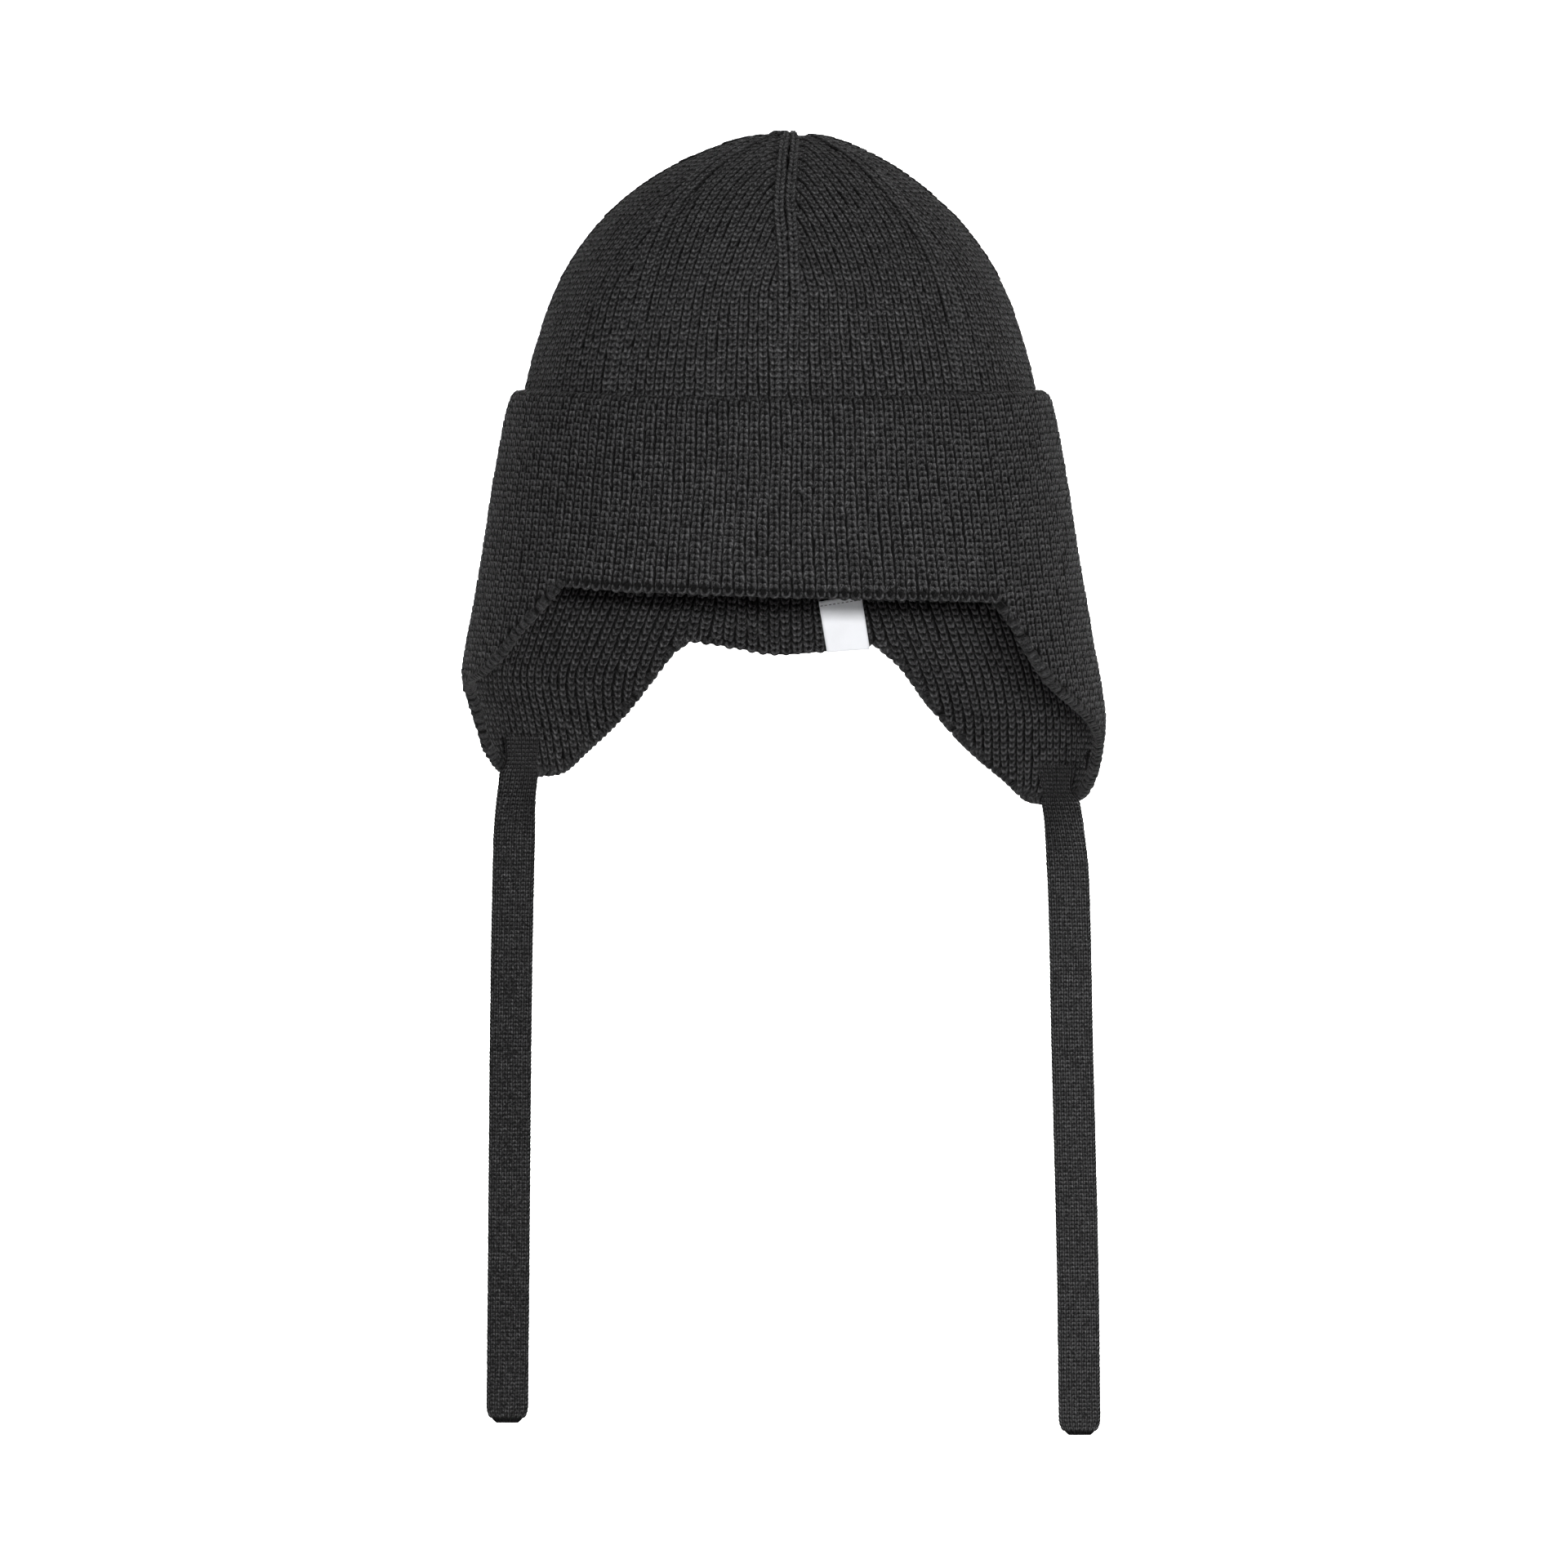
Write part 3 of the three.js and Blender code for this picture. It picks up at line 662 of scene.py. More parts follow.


# The ground's charcoal is painted shade: far darker than the yarn, it stands for the shade in the grooves between
# stitches and inside the crown.
CHARCOAL, PAINTED_SHADE_CHARCOAL = (0.043, 0.043, 0.044), (0.006, 0.006, 0.0062)
THREAD_GREY, PALE_TAPE, PAPER = (0.09, 0.09, 0.095), (0.83, 0.84, 0.87), (0.9, 0.9, 0.9)
yarn = make_yarn("charcoal yarn", CHARCOAL, (2.6, 4.0))
fine_yarn = make_yarn("fine charcoal yarn", CHARCOAL, (1.6, 2.0))
base_cloth = make_base_cloth("knit ground", COLUMNS_ROUND)
tie_ground = make_base_cloth("band ground", TIE_WALES)
label_tape = make_label_cloth()
label_thread = make_yarn("label thread", THREAD_GREY, (1.5, 2.0))


# Base cloth: closed walls, a stitch's height inside the solids' faces.

def crown_ground():
    """The crown as one closed wall: rows of its outer face from the top down, then of its inner face back up, with
    the last row of each drawn in to close it."""
    azimuth = np.linspace(-180, 180, 176, endpoint=False)
    outer = [0.5, 1.2, 2.4, 4.2, 7.5, 12, 18, 25, 33, 42, 52, 62, 72, 83, 94, CROWN_END - 1.2]
    inner = outer[:2:-1] + [2.2, 0.7]
    rows = [crown_point(azimuth, depth, STITCH_HEIGHT + crown_sink(azimuth, depth)) for depth in outer]
    rows += [crown_point(azimuth, CROWN_END, inwards) for inwards in (STITCH_HEIGHT + 0.4, CROWN_WALL - 0.3)]
    rows += [crown_point(azimuth, depth, CROWN_WALL) for depth in inner]
    top, bottom = rows[0] * [0.3, 0.3, 0] + [0, 0, CROWN_WALL - 1.6], rows[-1] * [0.3, 0.3, 0]
    piece = skin("crown_ground", [top, *rows, bottom], base_cloth, caps=True)
    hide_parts("crown")


def band_section(azimuth, along):
    """Depth of the outer face of cuff and flaps, and how far in it lies, at a distance from the fold's top line:
    round a quarter circle first, then straight down."""
    quarter = FOLD_RADIUS * math.pi / 2
    turn = np.clip(along / FOLD_RADIUS, -math.pi / 2, math.pi / 2)
    down = FOLD_RADIUS * (1 - np.cos(turn)) + np.maximum(np.abs(along) - quarter, 0)
    inwards = FOLD_RADIUS * (1 - np.sin(turn))
    return cuff_top(azimuth) + down, inwards


def band_ground():
    """Cuff and flaps as one closed wall, whose lower edge is the free edge and whose faces are softly ribbed: rows
    over the fold, down the outer face, round the edge and up the inner face."""
    half_ribs = np.arange(2 * COLUMNS_ROUND)
    azimuth = rib_azimuth(half_ribs / 2)
    groove = 0.3 * (half_ribs % 2 == 0)
    low, fold = lower_edge(azimuth), cuff_top(azimuth) + FOLD_RADIUS
    deep = STITCH_HEIGHT + groove
    inner = wall_below(azimuth) - STITCH_HEIGHT - groove
    radius = FOLD_RADIUS - deep * 0.9
    rows = [band_point(azimuth, fold - radius * np.cos(turn), FOLD_RADIUS - radius * np.sin(turn))
            for turn in np.radians((-80, -55, -28, 0, 28, 55, 80))]
    shares = np.concatenate([np.linspace(0.06, 0.42, 4), np.linspace(0.52, 0.96, 10), [0.985]])
    depths = [fold + (low - 0.8 - fold) * share for share in shares]
    rows += [band_point(azimuth, depth, deep) for depth in depths]
    rows += [band_point(azimuth, low - 0.6, inwards) for inwards in (deep + 0.4, inner - 0.3)]
    rows += [band_point(azimuth, depth, np.where(depth > CROWN_END + 2, inner, FOLD_RADIUS + 1.0))
             for depth in depths[::-1]]
    piece = skin("band_ground", rows, base_cloth, close_rows=True)
    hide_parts("cuff", "ear_flap_left", "ear_flap_right")


def along_rims(azimuth, front, back):
    """A measure of the two rims, which are some rows apart, evened out along the flaps between them."""
    a = signed(azimuth)
    at_front = front(np.clip(a, FRONT_RIM[0][0], FRONT_RIM[0][-1]))
    at_back = back(np.clip(a % 360, BACK_RIM[0][0], BACK_RIM[0][-1]))
    share = np.clip((np.abs(a) - FLAP_START) / (FLAP_END - FLAP_START), 0, 1)
    return at_front + (at_back - RIM_ROWS_APART * ROW - at_front) * share


def outer_row(azimuth, rows):
    """Distance of a row from the fold's top line. The rows end evenly on the front rim."""
    rim = along_rims(azimuth, lambda a: front_rim(a) - cuff_top(a), lambda a: back_rim(a) - cuff_top(a))
    return rim - 0.46 + (rows - OUTER_RIM_ROW) * ROW


def band_cloth(columns, rows):
    """Fabric map of the outer face of cuff and flaps."""
    azimuth = rib_azimuth(columns)
    depth, inwards = band_section(azimuth, outer_row(azimuth, rows))
    return band_point(azimuth, depth, inwards)


def stitch_places(columns, rows):
    """A column number and a row number for each stitch."""
    columns, rows = np.meshgrid(columns, rows)
    return columns.ravel(), rows.ravel()


def band_stitches():
    """The outer face's stitches, in two pieces: the half that faces forwards and the half behind."""
    columns, rows = stitch_places(np.arange(COLUMNS_ROUND) + 0.5, np.arange(-4, 66) + 0.5)
    azimuth = rib_azimuth(columns)
    along = outer_row(azimuth, rows)
    depth, _ = band_section(azimuth, along)
    keep = inside_edge(band_cloth, azimuth, columns, rows, depth) & (along > -2 * ROW)
    legs = stitch_legs(RIB_PITCH, ROW, (0.5, 0.58, 0.8, 0.84), 0.76, pointed_up=True)
    facing = np.abs(signed(azimuth)) < 90
    for name, part in (("front", keep & facing), ("back", keep & ~facing)):
        knit(f"cuff_knit_{name}", band_cloth, columns[part], rows[part], legs, yarn, "knit", seed=3)


def inside_edge(cloth, azimuth, columns, rows, depth):
    """Which stitches lie clear of the free edge and of its binding."""
    room = 1.3 + 0.9 * bound_edge(azimuth)
    return (depth < lower_edge(azimuth) - 1.1) & (edge_distance(cloth(columns, rows)) > room)


def inner_column(columns, rows):
    """Azimuth of a rib of the inner face. On the flaps the ribs lean with the flap's back edge, about the row that
    stays where it is."""
    azimuth = rib_azimuth(columns)
    away = np.abs(signed(azimuth))
    lean = ease((away - 92) / 12) * ease((178 - away) / 22)
    return azimuth + np.sign(signed(azimuth)) * INNER_LEAN * lean * (INNER_STILL_ROW - rows) * ROW


def inner_depth(azimuth, rows):
    """Depth of a row of the inner face. The rows end evenly on the front rim."""
    return along_rims(azimuth, front_rim, back_rim) - 1.6 + (rows - INNER_RIM_ROW) * ROW


def band_inner_cloth(columns, rows):
    """Fabric map of the inner face of cuff and flaps."""
    azimuth = inner_column(columns, rows)
    return band_point(azimuth, inner_depth(azimuth, rows), wall_below(azimuth))


def band_inner_stitches():
    """The inner face's stitches below the crown. Those of the right flap are painted lighter, as painted light."""
    columns, rows = stitch_places(np.arange(COLUMNS_ROUND) + 0.5, np.arange(-3, 46) + 0.5)
    azimuth = inner_column(columns, rows)
    depth = inner_depth(azimuth, rows)
    keep = inside_edge(band_inner_cloth, azimuth, columns, rows, depth) & (depth > CROWN_END - 1)
    legs = stitch_legs(RIB_PITCH, ROW, (0.3, 0.42, 0.9, 1.02), 0.64, groove=0.2, hole=0.2)
    azimuth = signed(rib_azimuth(columns[keep]))
    # Painted light: the right flap's inner face is made lighter through its shade.
    right = ease((azimuth - 60) / 30) * ease((172 - azimuth) / 40)
    knit("cuff_knit_inside", band_inner_cloth, columns[keep], rows[keep], legs, yarn, "knit", flip=True, seed=5,
         shade=1.6 * right)


def crown_fan(depth):
    """How much wider the columns are than at the lowest decrease."""
    return np.where(depth > DECREASE_DEPTH, crown_half(depth) / crown_half(DECREASE_DEPTH), 1.0)


class Gore:
    """The knit between two decrease lines. Above the lowest decrease its columns keep their distance from a guide
    line, which lies at a share of the gore from its middle, so they are taken up along the gore's edges. Below,
    they fan out evenly."""

    def __init__(self, start, end, guide, pitch):
        start, end = float(share_at(start)), float(share_at(end))
        self.guide = (start + end) / 2 + guide * (end - start) / 2
        self.to_start, self.to_end = self.guide - start, end - self.guide
        self.left, right = (way * crown_half(DECREASE_DEPTH) * ROUND_OF_ONE - CROWN_PITCH
                            for way in (self.to_start, self.to_end))
        self.count = max(2, round((self.left + right) / pitch))
        self.pitch = (self.left + right) / self.count

    def offset(self, columns, depth):
        """Distance of a column from the guide line."""
        return (columns * self.pitch - self.left) * crown_fan(depth)

    def stitches(self):
        """The columns and rows that lie clear of both decrease lines."""
        columns, rows = stitch_places(np.arange(self.count) + 0.5, CROWN_ROWS)
        depth = row_depth(rows)
        size = crown_half(depth) * ROUND_OF_ONE
        offset = self.offset(columns, depth)
        edge = 0.6 * CROWN_PITCH * crown_fan(depth)
        keep = (offset > edge - self.to_start * size) & (offset < self.to_end * size - edge)
        keep &= depth < CROWN_KNIT_END
        return columns[keep], rows[keep]

    def cloth(self, columns, rows):
        """Fabric map of the gore."""
        depth = row_depth(rows)
        size = np.maximum(crown_half(depth), 0.6) * ROUND_OF_ONE
        azimuth = azimuth_at(self.guide + self.offset(columns, depth) / size)
        return crown_point(azimuth, depth, crown_sink(azimuth, depth))


def crown_sink(azimuth, depth):
    """How far the crown is pulled in: in a narrow valley on both sides of each chain of decreases, and across the
    gathered top on both sides of the front and back chains."""
    half = crown_half(depth)
    lines = np.array(DECREASE_AZIMUTHS, float)
    away = np.radians(np.abs(signed(azimuth[..., None] - lines)).min(-1)) * half * DEPTH_TO_WIDTH
    fade = ease((half - 6) / 10) * (1 - ease((depth - 24) / 34))
    valley = fade * (1 - ease((away - CHAIN_PITCH) / 2.4))
    middle = np.abs(np.sin(np.radians(azimuth))) < 0.3
    across = np.abs(half * np.sin(np.radians(azimuth)))
    top = (1 - ease((half - 8) / 14)) * np.exp(-(across - CHAIN_PITCH) ** 2)
    return np.maximum(np.where(middle, 0.8, 0.2) * valley, 0.7 * top)


def chain_cloth(line):
    """Fabric map of a chain of decreases: two columns beside its line, narrower at the top, and standing proud."""
    share = float(share_at(line))

    def cloth(columns, rows):
        depth = row_depth(rows)
        half = crown_half(depth)
        offset = (columns - 1) * CHAIN_PITCH * np.minimum(1, 0.46 + half / 30)
        at = azimuth_at(share + offset / (np.maximum(half, 1.2) * ROUND_OF_ONE))
        return crown_point(at, depth, -0.45 * (1 - ease((depth - 30) / 30)) + 0 * at)

    return cloth


def crown_stitches():
    """The gores' stitches and, between them, the chains of decreases. Only the front and the back chain go on over
    the first rows at the top."""
    legs = stitch_legs(CROWN_PITCH, ROW, (0.4, 0.48, 0.74, 0.8), 0.67)
    ends = DECREASE_AZIMUTHS[1:] + [DECREASE_AZIMUTHS[0] + 360]
    for number, (start, end, sizes) in enumerate(zip(DECREASE_AZIMUTHS, ends, GORES)):
        gore = Gore(start, end, *sizes)
        knit(f"crown_knit_{number + 1}", gore.cloth, *gore.stitches(), legs, yarn, "knit", seed=20 + number)
    legs = stitch_legs(CHAIN_PITCH, ROW, (0.46, 0.58, 0.9, 1.0), 0.8)
    for number, line in enumerate(DECREASE_AZIMUTHS):
        columns, rows = stitch_places(np.arange(2) + 0.5, CROWN_ROWS)
        keep = (row_depth(rows) < CROWN_KNIT_END) & ((rows > 4) | (line in (FRONT_CHAIN, BACK_CHAIN)))
        knit(f"decrease_line_{number + 1}", chain_cloth(line), columns[keep], rows[keep], legs, yarn, "knit",
             seed=40 + number)


def gathered_top():
    """The small closed disc on top: its folds, a cosine of the azimuth, radiate from the gathering thread."""
    count = 21
    azimuth = np.linspace(-180, 180, 8 * count, endpoint=False)
    folds = np.cos(np.radians(azimuth) * count)
    rows = [crown_point(azimuth, depth, 0.75 - 0.3 * folds * fold + crown_sink(azimuth, np.array([depth])))
            for depth, fold in zip((0.03, 0.25, 0.6, 1.1, 1.8, 2.6), (0.2, 0.8, 1, 1, 1, 1))]
    # Painted shade: the crest is lower in the folds' valleys and higher on their ridges, and lower at the bottom cap.
    crest = np.append(np.tile(0.72 + 0.2 * folds, len(rows)), [0.7, 0.3])
    skin("gathered_top", rows, yarn, caps=True, crest=crest)


def gather_knot():
    """The drawn-up ends of the last stitches, as a small star of yarns on top of the crown."""
    rng = np.random.default_rng(SEED + 90)
    count = 11
    path = [[3.6, 0, -1.5], [2.6, 0.1, -0.75], [1.5, 0.0, -0.2], [0.6, -0.1, -0.15], [-0.2, 0, -1.0]]
    part = tube(path, [0.55, 0.62, 0.5])
    turn = (np.arange(count) + rng.uniform(-0.15, 0.15, count)) / count * 2 * math.pi
    local = part.points * (1 + rng.normal(0, 0.08, count))[:, None, None]
    zero = 0 * turn
    where = placed(local, np.stack([zero, zero, zero + CROWN_WALL + 0.1], -1),
                   np.stack([np.cos(turn), np.sin(turn), zero], -1),
                   np.stack([-np.sin(turn), np.cos(turn), zero], -1), np.tile([0.0, 0.0, 1.0], (count, 1)))
    scatter("gather_knot", part, where, yarn, rng.uniform(0, 1, count))


# Free edge: yarn wraps over it, and each front rib ends in a small loop.

def edge_line():
    """The free edge at even small steps: azimuth, place in the middle of the hem's wall, and the directions along
    it, away from the cloth and out of the face, with the distance run along it."""
    fine = azimuth_at(np.linspace(0, 1, 4001))
    run = running(np.linalg.norm(np.diff(band_point(fine, lower_edge(fine), HEM_MIDDLE), axis=0), axis=1))
    at = np.interp(np.linspace(0, run[-1], 2001), run, fine)
    step = 0.25
    low = lower_edge(at)

    def change(first, second):
        """Unit direction from one azimuth and depth to another."""
        return unit(band_point(*second, HEM_MIDDLE) - band_point(*first, HEM_MIDDLE))

    along = change((at - step, lower_edge(at - step)), (at + step, lower_edge(at + step)))
    out = unit(np.cross(change((at - step, low), (at + step, low)), change((at, low + step), (at, low - step))))
    return at, band_point(at, low, HEM_MIDDLE), along, np.cross(along, out), out, run[-1]


EDGE_AZIMUTH, EDGE_PLACE, EDGE_ALONG, EDGE_AWAY, EDGE_OUT, EDGE_LENGTH = edge_line()


def on_edge(table, distance):
    """A table of the edge line at distances along it, going round and round."""
    place = (distance / EDGE_LENGTH % 1) * (len(table) - 1)
    low = np.floor(place).astype(int)
    share = (place - low)[..., None]
    return table[low] * (1 - share) + table[np.minimum(low + 1, len(table) - 1)] * share


def bound_edge(azimuth):
    """1 along the flaps' bound edges and 0 along the front and back rims."""
    return 1 - ease((np.abs(np.abs(signed(azimuth)) - BOUND_MIDDLE) - BOUND_HALF) / BOUND_FADE)


def edge_distance(points):
    """The distance of each point from the nearest of every fourth place of the edge line, a part of the points at a
    time."""
    line = EDGE_PLACE[::4]
    return np.concatenate([np.linalg.norm(part[:, None] - line[None], axis=-1).min(1)
                           for part in np.array_split(points, 20)])


def bound_at(distance):
    """How far the edge is a bound one at distances along it."""
    steps = np.linspace(0, EDGE_LENGTH, len(EDGE_AZIMUTH))
    return bound_edge(np.interp(distance % EDGE_LENGTH, steps, EDGE_AZIMUTH))


def edge_frame(distance):
    """Place and directions of the edge line at distances along it."""
    return [on_edge(table, distance) for table in (EDGE_PLACE, EDGE_ALONG, EDGE_AWAY, EDGE_OUT)]


def hem():
    """The free edge: a soft core all the way round, and on the flaps yarn bound over it from face to face. The core
    is a circle swept along the edge line, deeper in the cloth along the flaps."""
    distance = np.arange(0, EDGE_LENGTH, 1.6)
    turn = np.linspace(0, 2 * math.pi, 8, endpoint=False)
    place, _, away, out = edge_frame(distance)
    centre = place - (0.85 + 0.75 * bound_at(distance))[:, None] * away
    rows = (centre[:, None] + np.cos(turn)[None, :, None] * away[:, None]
            + np.sin(turn)[None, :, None] * out[:, None])
    # The core's low crest paints it in shade under the wraps and the rim's loops.
    skin("hem_core", rows, yarn, close_rows=True, crest=0.4)

    rng = np.random.default_rng(SEED + 70)
    count = round(EDGE_LENGTH / HEM_PITCH)
    distance = (np.arange(count) + rng.normal(0, 0.12, count)) / count * EDGE_LENGTH
    distance = distance[bound_at(distance) > 0.4]
    count = len(distance)
    path = [(-0.9, -3.0, 0.2), (-0.66, -2.3, -0.7), (-0.34, -1.2, -1.0), (0, -0.5, 0),
            (0.34, -1.2, 1.0), (0.66, -2.3, 0.7), (0.9, -3.0, -0.2)]
    radii = [0.5, 0.6, 0.6, 0.6, 0.5]
    # The wraps' crest paints shade on their sides and ends, lighter where they face outwards.
    crest = np.tile(0.4 + 0.44 * np.cos(np.radians(SEEN_FROM_OUTSIDE)), len(radii))
    part = tube(path, radii, SEEN_FROM_OUTSIDE, squash=2.1, up=(1.0, 0.0, 0.0))
    part = part._replace(crest=np.concatenate([[0.1], crest, [0.1]]))
    where = placed(part.points * (1 + rng.normal(0, 0.08, (count, 1, 1))), *edge_frame(distance))
    scatter("edge_binding", part, where, yarn, rng.uniform(0, 0.8, count))


def rim_loops():
    """The loop of yarn that ends each rib, a little more than half an oval: small rings along the front rim, each
    round a short core of yarn painted in shade, and fuller ones along the back."""
    rng = np.random.default_rng(SEED + 80)
    azimuth = rib_azimuth(np.arange(COLUMNS_ROUND) + 0.5)
    away = np.abs(signed(azimuth))
    front, back = away < -FRONT_RIM[0][0], away > BACK_RIM[0][0]
    # Name, ribs, distance inwards, thickness of the yarn, half width and height of the oval, rise over the rim.
    sets = [
        ("front_rim_rings", front, -0.2, 0.46, (0.95, 1.15), 1.0),
        ("front_rim_inner_loops", front, HEM_WALL - 0.7, 0.5, (0.85, 0.8), 0.95),
        ("back_rim_loops", back, 0.7, 0.6, (0.8, 1.0), 1.1),
        ("back_rim_inner_loops", back, HEM_WALL - 0.7, 0.6, (0.8, 1.0), 1.1),
    ]
    turn = np.linspace(-0.55, math.pi + 0.55, 11)
    for name, chosen, inwards, thick, (wide, tall), rise in sets:
        at = azimuth[chosen]
        count = len(at)
        path = np.stack([wide * np.cos(turn), -tall * np.sin(turn), 0.12 * np.sin(turn) - 0.05], 1)
        shapes = {name: tube(path, [thick * 0.8] + [thick] * 7 + [thick * 0.8])}
        if name == "front_rim_rings":
            heart = tube([[0, 1.3, -0.6], [0, 0.8, -0.45], [0, -0.3, -0.4], [0, -0.9, -0.55]], [0.75, 0.75])
            # Painted shade: the core's crest is halved, so it reads as the shade inside its ring.
            shapes["front_rim_hearts"] = heart._replace(crest=0.5 * heart.crest)
        low = lower_edge(at) - rise + rng.normal(0, 0.1, count)
        sideways = unit(band_point(at + 0.2, low, inwards) - band_point(at - 0.2, low, inwards))
        upwards = np.tile([0.0, 0.0, 1.0], (count, 1))
        out = np.cross(sideways, upwards)
        sideways *= rib_width(at, low)[:, None] / RIB_PITCH
        size = (1 + rng.normal(0, 0.06, count))[:, None, None]
        shade = rng.uniform(-0.4, 0.5, count)
        if inwards > HEM_WALL / 2:
            size = size * [-1, 1, -1]
        for shape_name, part in shapes.items():
            where = placed(part.points * size, band_point(at, low, inwards), sideways, upwards, out)
            scatter(shape_name, part, where, yarn, shade)


def rib_width(azimuth, depth):
    """The distance from one rib to the next."""
    column = np.interp(signed(azimuth), AZIMUTHS, RIB_SHARES) * COLUMNS_ROUND
    ends = [band_point(rib_azimuth(column + half), depth, 0) for half in (0.5, -0.5)]
    return np.linalg.norm(ends[0] - ends[1], axis=1)


# Hanging bands.

def azimuth_across(across, depth, side, inwards):
    """The azimuth at which the inner face of a flap lies at a distance across, by halving."""
    low, high = np.full(np.shape(across), 90.0), np.full(np.shape(across), 170.0)
    for _ in range(40):
        middle = (low + high) / 2
        wide = np.abs(band_point(side * middle, depth, inwards)[..., 0]) > np.abs(across)
        low, high = np.where(wide, middle, low), np.where(wide, high, middle)
    return (low + high) / 2


def tie_section():
    """The band's flat section, a rounded oblong: powers of the cosine and sine of its turn, with the way round it."""
    turn = np.linspace(0, 2 * math.pi, 721)
    x, y = (np.sign(f) * np.abs(f) ** 0.7 * size / 2
            for f, size in ((np.cos(turn), TIE_WIDTH), (np.sin(turn), TIE_THICKNESS)))
    return running(np.hypot(np.diff(x), np.diff(y))), x, y


def tie_cloth(tie, thickness, narrower=0.0):
    """Fabric map of a hanging band: columns go once round its flat section, rows go down it. It follows the flap's
    inner face down to the height where it leaves it, turns to face forwards below its sewn end, and closes in a
    quarter circle at its tip."""
    side, sewn, leave, end = tie["side"], tie["sewn"], tie["leave"], tie["end"]
    across_at = curve(tie["depth"], tie["across"])
    stand_off = FLAP_WALL + TIE_GAP + TIE_THICKNESS / 2
    fine = np.linspace(sewn - 3, leave, 60)
    middles = azimuth_across(across_at(fine), fine, side, stand_off)
    run, flat_x, flat_y = tie_section()

    def on_flap(depth, offset, inwards):
        middle = np.interp(depth, fine, middles)
        return band_point(side * (middle - offset * 180 / (math.pi * FLAP_RADIUS)), depth, inwards)

    start = sewn + TIE_SEWN_LENGTH
    outer, inner = (on_flap(start, way * TIE_SEWN_WIDTH / 2, stand_off) for way in (1, -1))
    sewn_turn = math.atan2(abs(outer[1] - inner[1]), abs(outer[0] - inner[0]))

    def cloth(columns, rows):
        depth = np.minimum(sewn + rows * TIE_ROW, end)
        turn = sewn_turn * (1 - ease((depth - start) / TIE_UNTWIST))
        seen = TIE_WIDTH - 0.8 * TIE_THICKNESS * np.sin(turn)
        full = np.minimum(TIE_SEWN_WIDTH, seen / np.cos(turn)) / 2
        tip = np.minimum((end - depth) / TIE_TIP, 1)
        half = full * (0.3 + 0.7 * np.sqrt(np.maximum(0, 1 - (1 - tip) ** 2))) - narrower
        place = (columns / TIE_WALES % 1) * run[-1]
        offset = np.interp(place, run, flat_x) / (TIE_WIDTH / 2) * half
        through = np.interp(place, run, flat_y) / (TIE_THICKNESS / 2) * thickness / 2
        capped = np.minimum(depth, leave)
        on = on_flap(capped, offset, stand_off + through)
        pivot_y = on_flap(capped, TIE_SEWN_WIDTH / 2, stand_off)[..., 1]
        x = across_at(depth) + side * (offset * np.cos(turn) - through * np.sin(turn))
        y = pivot_y + (full - offset) * np.sin(turn) - through * np.cos(turn)
        hang = ease((depth - start + 1) / 6)
        on_x, on_y = on[..., 0], on[..., 1]
        return np.stack([on_x + (x - on_x) * hang, on_y + (y - on_y) * hang, CROWN_WALL - depth], -1)

    return cloth


def make_tie(name, tie):
    """A hanging band: its ground as loops of points down it, and its stitches over the ground."""
    length_rows = (tie["end"] - tie["sewn"]) / TIE_ROW
    ground = tie_cloth(tie, TIE_THICKNESS - 1.0, 0.5)
    stations = np.concatenate([np.linspace(0.3, 24, 40), np.linspace(26, length_rows - 4, 50),
                               np.linspace(length_rows - 3.4, length_rows - 0.5, 6)])
    columns, rows = np.meshgrid(np.arange(0, TIE_WALES, 0.75), stations)
    piece = skin(f"{name}_ground", ground(columns, rows), tie_ground, caps=True)
    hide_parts(name)
    legs = stitch_legs(TIE_WALE, TIE_ROW, (0.22, 0.28, 0.37, 0.38), 0.36, pointed_up=True, groove=0.4, hole=0.1)
    wales, rows = stitch_places(np.arange(TIE_WALES) + 0.5, np.arange(0, int(length_rows) - 1) + 0.6)
    # The band's shade adds painted light: lighter on the right band, darker on the left.
    knit(f"{name}_knit", tie_cloth(tie, TIE_THICKNESS), wales, rows, legs, fine_yarn, "tie_knit",
         flip=tie["side"] > 0, seed=60, rough=0.4, shade=tie["shade"])


def make_label():
    """A bare woven tab, with a line of dark stitches near its top. It hangs a little askew before the inner face at
    the back, and is bowed forwards by the square of the distance from the hat's middle and by a small wave."""
    share = np.linspace(0, 1, 22)[:, None]
    offset = np.linspace(-LABEL_WIDTH / 2, LABEL_WIDTH / 2, 15)[None, :]
    depth = LABEL_TOP + LABEL_DROP * share - (0.16 - 0.085 * share) * offset
    middle = LABEL_MIDDLE + LABEL_LEAN * share
    x = middle + offset
    behind = band_point(180.0 + 0 * depth, depth, HEM_WALL + 0.5)[..., 1] - 0.9 * ease(share)
    y = behind - x ** 2 / 260 - 0.25 * np.sin(offset * 0.5 + share * 2) * share - 0.45
    front, back = (np.stack([x, y + through, CROWN_WALL - depth], -1)
                   for through in (-LABEL_THICKNESS / 2, LABEL_THICKNESS / 2))
    piece = skin("label_tab", np.concatenate([front, back[:, ::-1]], 1), label_tape, caps=True)
    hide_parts("label")
    part = tube([[-0.42, 0, -0.1], [-0.25, 0, 0.05], [0.25, 0, 0.05], [0.42, 0, -0.1]], [0.1, 0.1])
    count = 10
    at = middle[0, 0] + 0.2 + np.linspace(-5.0, 5.0, count)
    seam = front[2]
    seam_y, seam_z = (np.interp(at, seam[:, 0], seam[:, k]) for k in (1, 2))
    place = np.stack([at, seam_y, seam_z + 0.05], -1)
    x, y, z = part.points.T
    where = place[:, None] + np.stack([0.985 * x, -z, 0.17 * x + y], -1)
    scatter("label_stitches", part, where, label_thread, np.linspace(0.2, 0.8, count))


crown_ground()
band_ground()
band_stitches()
band_inner_stitches()
crown_stitches()
hem()
rim_loops()
gathered_top()
gather_knot()
for tie_name, tie_sizes in TIES.items():
    make_tie(f"tie_{tie_name}", tie_sizes)
make_label()


# Studio, in metres.

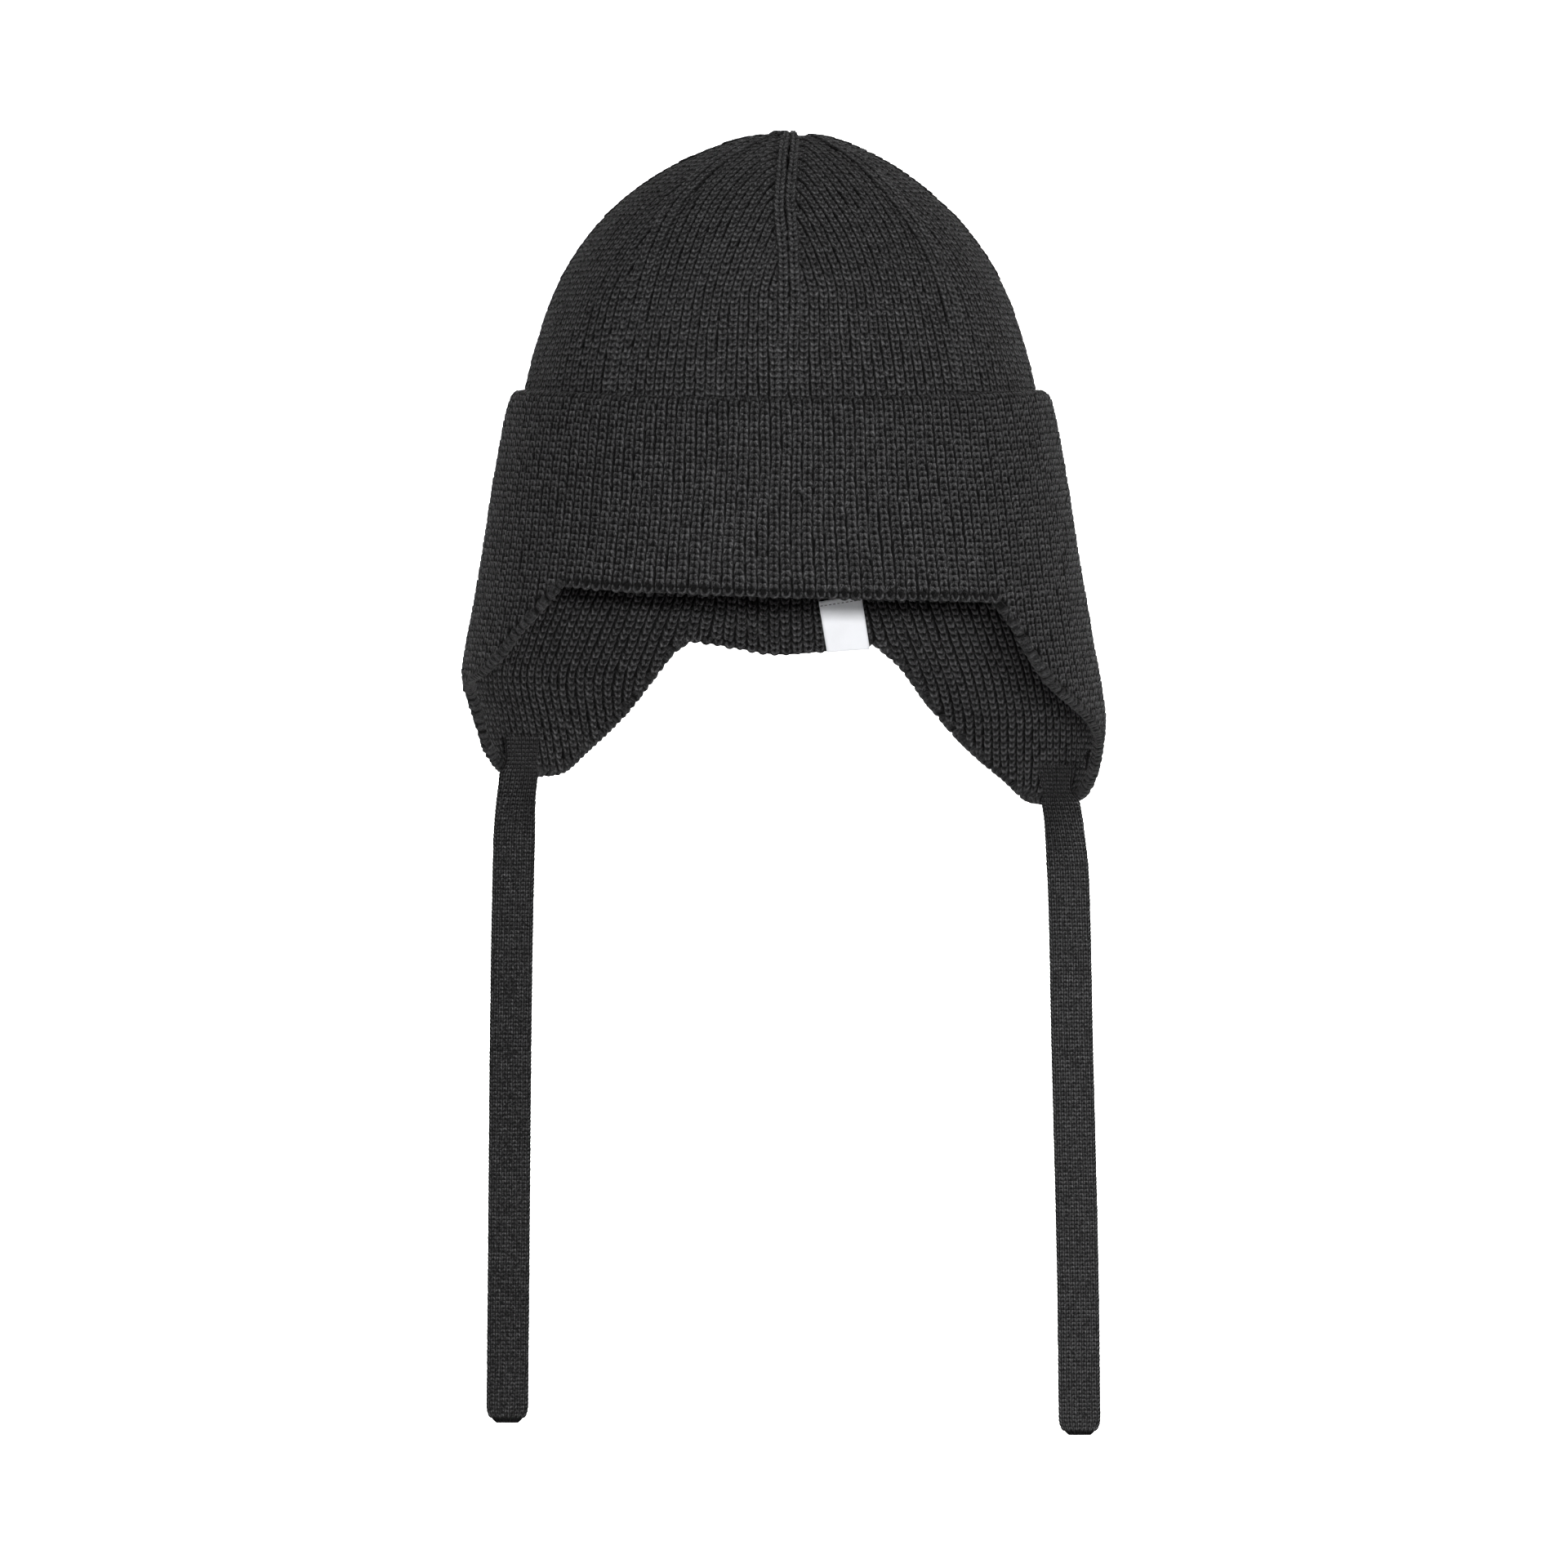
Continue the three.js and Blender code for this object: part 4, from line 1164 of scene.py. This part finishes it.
def make_studio():
    """A sweep of pale paper under and behind the hat, bent through a quarter circle. It shows on its inner side
    alone, so that the hat can be looked at from behind and from below."""
    half, bend_start, bend_radius, room_below = 2.6, 0.9, 0.5, 0.045
    floor_z = (CROWN_WALL - TIES["right"]["end"]) * MM - room_below
    bend = np.linspace(0, math.pi / 2, 13)
    y = np.concatenate([[-half], bend_start + bend_radius * np.sin(bend), [bend_start + bend_radius]])
    z = floor_z + np.concatenate([[0], bend_radius * (1 - np.cos(bend)), [half]])
    count = len(y)
    points = np.concatenate([np.stack([x + 0 * y, y, z], 1) for x in (-half, half)])
    k = np.arange(count - 1)
    faces = np.stack([count + k, count + k + 1, k + 1, k], 1)
    mesh = bpy.data.meshes.new("studio_sweep")
    mesh.from_pydata(points.tolist(), [], faces.tolist())
    mesh.polygons.foreach_set("use_smooth", np.ones(len(faces), bool))
    sweep = bpy.data.objects.new("studio_sweep", mesh)
    bpy.context.scene.collection.objects.link(sweep)
    material, tree, shader = new_material("pale paper")
    grain = noise(tree, object_place(tree), 40, 2.0)
    paint(tree, shader, PAPER, total(tree, 0.96, (grain, 0.05)), 0.95)
    see_through = tree.nodes.new("ShaderNodeMixShader")
    clear = tree.nodes.new("ShaderNodeBsdfTransparent")
    tree.links.new(tree.nodes.new("ShaderNodeNewGeometry").outputs["Backfacing"], see_through.inputs[0])
    tree.links.new(shader.outputs[0], see_through.inputs[1])
    tree.links.new(clear.outputs[0], see_through.inputs[2])
    tree.links.new(see_through.outputs[0], tree.nodes["Material Output"].inputs["Surface"])
    mesh.materials.append(material)


def add_area(name, place, target, size, power):
    """A flat light that faces a target."""
    light = bpy.data.lights.new(name, "AREA")
    light.shape = "RECTANGLE"
    light.size, light.size_y = size
    light.energy = power
    lamp = bpy.data.objects.new(name, light)
    bpy.context.scene.collection.objects.link(lamp)
    lamp.location = place
    x, y, z = np.array(place) - np.array(target)
    lamp.rotation_euler = (math.atan2(math.hypot(x, y), z), 0, math.atan2(x, -y))


def make_lights():
    """A soft white room, a light in front, a broader and weaker one at the right and one for the paper behind."""
    world = bpy.data.worlds.new("soft room")
    world.use_nodes = True
    background = world.node_tree.nodes["Background"]
    background.inputs["Color"].default_value = (1, 1, 1, 1)
    background.inputs["Strength"].default_value = 0.14
    bpy.context.scene.world = world
    hat = (0.0, 0.0, -0.1)
    add_area("front", (0.15, -4.2, -0.06), hat, (0.5, 0.1), 160)
    add_area("right", (2.6, -3.0, 0.3), hat, (0.7, 0.7), 34)
    add_area("paper", (0.0, 0.5, 0.6), (0.0, 1.5, 0.2), (2.4, 0.6), 50)


def make_camera():
    """A long lens, far off in front, aimed straight back through the middle of the picture."""
    middle_x, middle_depth, away = 0.95, 167.6, 4.480
    data = bpy.data.cameras.new("camera")
    data.lens = 400
    data.sensor_width = 36
    data.clip_end = 50
    camera = bpy.data.objects.new("camera", data)
    bpy.context.scene.collection.objects.link(camera)
    camera.location = (middle_x * MM, -away, (CROWN_WALL - middle_depth) * MM)
    camera.rotation_euler = (math.pi / 2, 0, 0)
    bpy.context.scene.camera = camera


make_studio()
make_lights()
make_camera()
bpy.context.scene.view_settings.view_transform = "Standard"
